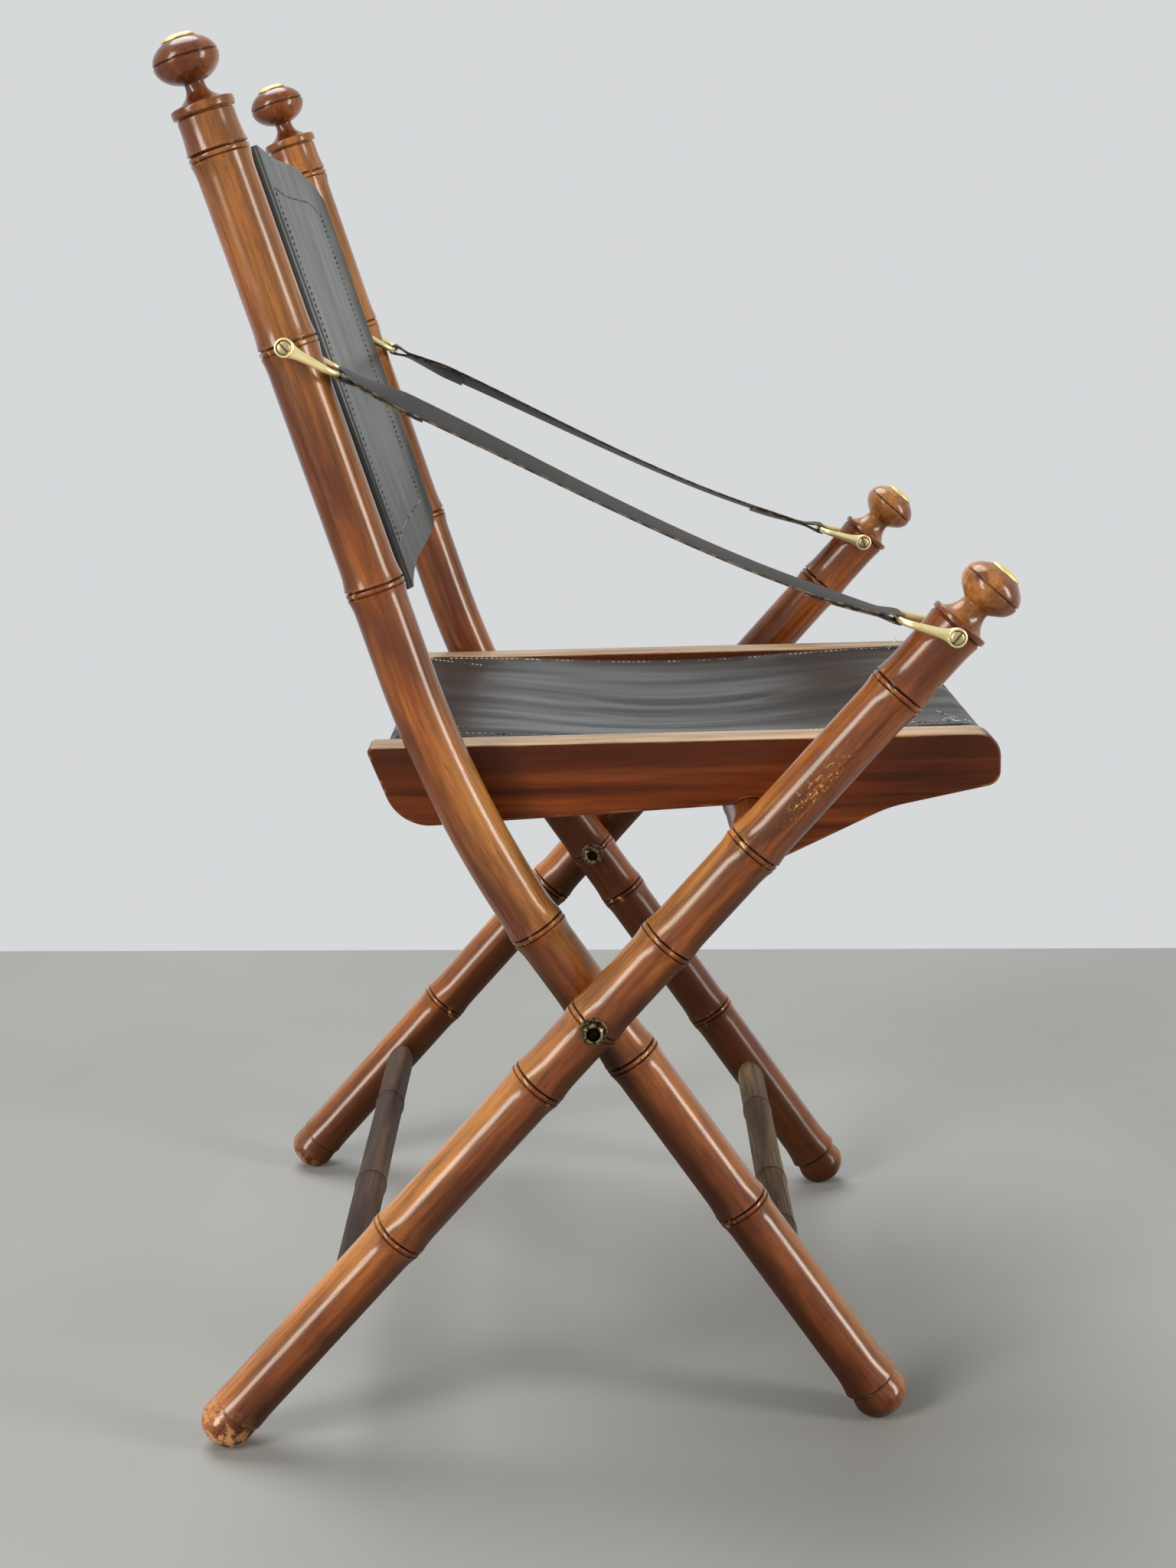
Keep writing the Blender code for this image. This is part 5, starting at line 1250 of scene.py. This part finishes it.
brass_look = brass_finish("polished_brass", srgb(242, 224, 168), 0.32)
screw_look = brass_finish("screw_brass", srgb(198, 182, 140), 0.26)
for side, sign in SIDES:
    for kind, (_, _, pole_y) in pole_tops.items():
        node = f"{kind}_shackle_{side}"
        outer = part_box(f"{kind}_shackle_screw_outer_{side}")
        pole_half = max(abs(abs(corner.y) - pole_y) for corner in outer) - EYE_STACK
        rise = math.radians(SHACKLE_RISE[kind])
        bow = shackle(f"{node}_cast", node, f"{node}_turn", sign * pole_y, rise, pole_half)
        fit(bow, brass_look, "brass", node, node)
        for where, way in (("outer", sign), ("inner", -sign)):
            screw = f"{kind}_shackle_screw_{where}_{side}"
            head = slotted_head(f"{screw}_slotted", screw, way, SLOT_TURNS[f"{kind}_{where}"])
            fit(head, screw_look, "brass", f"{kind}_frame", screw)

# Arm straps
# Straps of black leather: a ribbon folded round the bow of a shackle at each end and sewn back under itself,
# sagging a little and twisted outwards near the back. Their cut edges are scuffed to pale brown.

STRAP_WIDTH = 0.0240
STRAP_LAYER = 0.0018
STRAP_SAG = 0.0090
STRAP_TAIL = 0.0620         # how far the folded end runs back under the strap
STRAP_NECK = 0.0150         # where the two layers meet behind a bow
STRAP_CUT = 0.0850          # where a strap's end pieces meet its middle
STRAP_TWIST = 24.0          # degrees, near the back
STRAP_EASE = 0.0450         # length over which the twist comes in from each bow
STRAP_BEND = 0.0120         # where a strap's end starts to bend away from its bow
LOOP_INSIDE = 0.0022        # radius inside the fold round a bow


def strap_frame(along, start, end, sign):
    """Centre of a strap and its upward and sideways directions, by distance from the rear bow: a straight
    line that sags most two thirds of the way along, twisted by a bell curve near the rear bow."""
    span = np.array(end) - np.array(start)
    length = math.hypot(span[0], span[2])
    share = np.clip(along / length, 0, 1)
    slope = math.atan2(span[2], span[0])
    sag = STRAP_SAG * share ** 2 * (1 - share) * 27 / 4
    tip = STRAP_SAG * (2 * share - 3 * share ** 2) * 27 / 4 / length
    centre = np.stack([start[0] + along * math.cos(slope) + sag * math.sin(slope), start[1] + span[1] * share,
                       start[2] + along * math.sin(slope) - sag * math.cos(slope)], -1)
    lean = slope - np.arctan(tip)
    upward = np.stack([-np.sin(lean), 0 * along, np.cos(lean)], -1)
    forward = np.stack([np.cos(lean), 0 * along, np.sin(lean)], -1)
    ease = np.clip(along / STRAP_EASE, 0, 1) * np.clip((length - along) / STRAP_EASE, 0, 1)
    twist = sign * math.radians(STRAP_TWIST) * ease * (0.42 + 0.58 * np.exp(-(along / 0.16) ** 2))
    across = np.array([0.0, 1.0, 0.0])
    lifted = upward * np.cos(twist)[:, None] + across * np.sin(twist)[:, None]
    sideways = across * np.cos(twist)[:, None] - upward * np.sin(twist)[:, None]
    return centre, forward, lifted, sideways


def strap_path(length, loop):
    """Ribbon in the strap's own side view: the tail runs to the rear bow, turns round it, runs to the front
    bow, turns round that and ends in the front tail. Gives distance along and lift."""
    ease = np.linspace(0, 1, 10)
    smooth = ease * ease * (3 - 2 * ease)
    tail = np.linspace(STRAP_TAIL, STRAP_NECK, 24)[:-1]
    turn = np.linspace(-math.pi / 2, -3 * math.pi / 2, 24)[1:-1]
    rear_along = np.concatenate([tail, STRAP_NECK * (1 - ease), loop * np.cos(turn), STRAP_NECK * ease])
    low = -STRAP_LAYER / 2 - (loop - STRAP_LAYER / 2) * smooth
    rear_lift = np.concatenate([np.full(23, -STRAP_LAYER / 2), low, loop * np.sin(turn), -low[::-1]])
    run = np.linspace(STRAP_NECK, length - STRAP_NECK, 150)[1:-1]
    along = np.concatenate([rear_along, run, length - rear_along[::-1]])
    return along, np.concatenate([rear_lift, np.full(148, STRAP_LAYER / 2), rear_lift[::-1]])


def strap_ribbon(name, along, lift, start, end, sign):
    """Ribbon: a flat superellipse carried along the path, closed at both ends."""
    slope_along, slope_lift = np.gradient(along), np.gradient(lift)
    size = np.hypot(slope_along, slope_lift)
    centre, forward, upward, sideways = strap_frame(along, start, end, sign)
    normal = (-slope_lift / size)[:, None] * forward + (slope_along / size)[:, None] * upward
    middle = centre + lift[:, None] * upward
    around = np.linspace(0, 2 * math.pi, 32, endpoint=False)
    wide = STRAP_WIDTH / 2 * np.sign(np.cos(around)) * np.abs(np.cos(around)) ** 0.30
    thick = STRAP_LAYER / 2 * np.sign(np.sin(around)) * np.abs(np.sin(around)) ** 0.45
    rings = (middle[:, None, :] + sideways[:, None, :] * wide[None, :, None]
             + normal[:, None, :] * thick[None, :, None])
    run = repeat_ends(np.concatenate([[0], np.cumsum(size[1:])]))[:, None]
    edge = np.clip((np.abs(wide) / (STRAP_WIDTH / 2) - 0.90) / 0.08, 0, 1) + 0 * run
    marks = {"flat": flat_cut(run, wide), "brown": 0.25 + 0 * edge, "edge": edge}
    return surface(name, close_ends(middle, rings), wrap=True, marks=marks, sharp=60)


strap_look = hide("strap_hide", srgb(32, 33, 32), srgb(46, 47, 46), srgb(62, 50, 40), 0.9, 0.35, 0.3)
for side, sign in SIDES:
    bows = []
    for kind, (_, _, pole_y) in pole_tops.items():
        x, _, z = joints[f"{kind}_shackle_{side}_turn"]["pos_m"]
        rise = math.radians(SHACKLE_RISE[kind])
        bows.append((x + SHACKLE_LENGTH * math.cos(rise), sign * pole_y,
                     z + SHACKLE_LENGTH * math.sin(rise)))
    start, end = bows
    length = math.hypot(end[0] - start[0], end[2] - start[2])
    along, lift = strap_path(length, LOOP_INSIDE + STRAP_LAYER / 2)
    upper = np.flatnonzero(lift == STRAP_LAYER / 2)
    cut_rear = upper[np.argmin(np.abs(along[upper] - STRAP_CUT))]
    cut_front = upper[np.argmin(np.abs(along[upper] - length + STRAP_CUT))]
    reach = {"rear": (0, cut_rear + 1), "middle": (cut_rear, cut_front + 1), "front": (cut_front, len(along))}
    bends = np.array([STRAP_BEND, STRAP_CUT, length - STRAP_CUT, length - STRAP_BEND])
    centre = strap_frame(bends, start, end, sign)[0]
    for where, (first, last) in reach.items():
        ribbon = strap_ribbon(f"arm_strap_{side}_{where}", along[first:last], lift[first:last],
                              start, end, sign)
        fit(ribbon, strap_look, "black_leather", None, f"arm_strap_{side}")
        if where == "rear":
            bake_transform(ribbon)
        elif where == "front":
            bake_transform(ribbon)
        else:
            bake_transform(ribbon)

# Floor, light and camera
# A plain pale floor under soft studio light: a tall softbox on each side of the camera, a broad light from
# above and a pale surround. The camera stands where the photograph was taken from.

FLOOR_REACH = 3.2
FLOOR_BACK = 0.925          # where the floor ends behind the chair
FLOOR_SUNK = 0.0004         # below the soles of the feet
CAMERA_PLACE = (-0.0027, -1.7134, 0.8053)
CAMERA_PITCH = 12.830       # degrees down
CAMERA_YAW = 0.080
CAMERA_ROLL = -0.178
FOCAL_LENGTH = 52.40        # millimetres
SENSOR_LONG_SIDE = 36.0
BACKGROUND = srgb(214, 216, 218)
SURROUND_LEVEL = 0.30
LAMP_AIM = (0, 0, 0.5)
LAMP_COLOUR = (1.0, 0.94, 0.86)
OVERHEAD_POWER = 2.1
OVERHEAD_SPREAD = 40        # degrees
OVERHEAD_TILT = -14         # degrees about the chair's own axes across and along
OVERHEAD_LEAN = -24

floor_x, floor_y = np.meshgrid(np.linspace(-FLOOR_REACH, FLOOR_REACH, 13),
                               np.linspace(-FLOOR_REACH, FLOOR_BACK, 13), indexing="ij")
floor = surface("floor", np.stack([floor_x, floor_y, 0 * floor_x - FLOOR_SUNK], -1))
floor_look, start = finish("pale_floor", {"Roughness": 0.60, "Specular IOR Level": 0.15})
cloud = start.node("TexCoord", {}, {}, "Object").noise(2.5, 2.5, 3, 0.5)
feed(floor_look, {"Base Color": cloud.between(0.2, 0.8).tint(srgb(156, 157, 155), srgb(164, 165, 163))})
floor.data.materials.append(floor_look)

world = bpy.data.worlds.new("studio")
bpy.context.scene.world = world
world.use_nodes = True
background = world.node_tree.nodes["Background"]
start = Wire(world.node_tree)
camera_ray, glossy_ray, passing_ray = (start.node("LightPath", {}, {}, f"Is {ray} Ray")
                                       for ray in ("Camera", "Glossy", "Transmission"))
seen = start.maths("MAXIMUM", camera_ray, start.maths("MAXIMUM", glossy_ray, passing_ray))
background.inputs["Color"].default_value = BACKGROUND
strength = SURROUND_LEVEL + seen * (1 - SURROUND_LEVEL)
world.node_tree.links.new(strength.socket, background.inputs["Strength"])


def softbox(name, place, width, height, power):
    """Rectangular lamp at a place, turned towards the chair."""
    lamp = bpy.data.lights.new(name, "AREA")
    lamp.shape = "RECTANGLE"
    lamp.size, lamp.size_y = width, height
    lamp.energy = power
    lamp.color = LAMP_COLOUR
    stand = bpy.data.objects.new(name, lamp)
    bpy.context.scene.collection.objects.link(stand)
    direction = np.array(place) - np.array(LAMP_AIM)
    turn = math.atan2(direction[0], -direction[1])
    lean = math.atan2(math.hypot(direction[0], direction[1]), direction[2])
    turned = Matrix.Rotation(turn, 4, "Z") @ Matrix.Rotation(lean, 4, "X")
    stand.matrix_world = Matrix.Translation(place) @ turned


softbox("left_softbox", place=(-3.98, -3.84, 2.30), width=1.60, height=4.6, power=305)
softbox("right_softbox", place=(4.60, -1.90, 1.52), width=1.20, height=3.0, power=165)
overhead = bpy.data.objects.new("overhead_light", bpy.data.lights.new("overhead_light", "SUN"))
overhead.data.energy = OVERHEAD_POWER
overhead.data.angle = math.radians(OVERHEAD_SPREAD)
overhead.matrix_world = (Matrix.Rotation(math.radians(OVERHEAD_TILT), 4, "Y")
                         @ Matrix.Rotation(math.radians(OVERHEAD_LEAN), 4, "X"))
bpy.context.scene.collection.objects.link(overhead)

camera = bpy.data.objects.new("camera", bpy.data.cameras.new("camera"))
bpy.context.scene.collection.objects.link(camera)
camera.data.lens = FOCAL_LENGTH
camera.data.sensor_width = SENSOR_LONG_SIDE
camera.matrix_world = (Matrix.Translation(CAMERA_PLACE) @ Matrix.Rotation(math.radians(CAMERA_YAW), 4, "Z")
                       @ Matrix.Rotation(math.radians(90 - CAMERA_PITCH), 4, "X")
                       @ Matrix.Rotation(math.radians(CAMERA_ROLL), 4, "Z"))
bpy.context.scene.camera = camera
bpy.context.scene.view_settings.view_transform = "Standard"
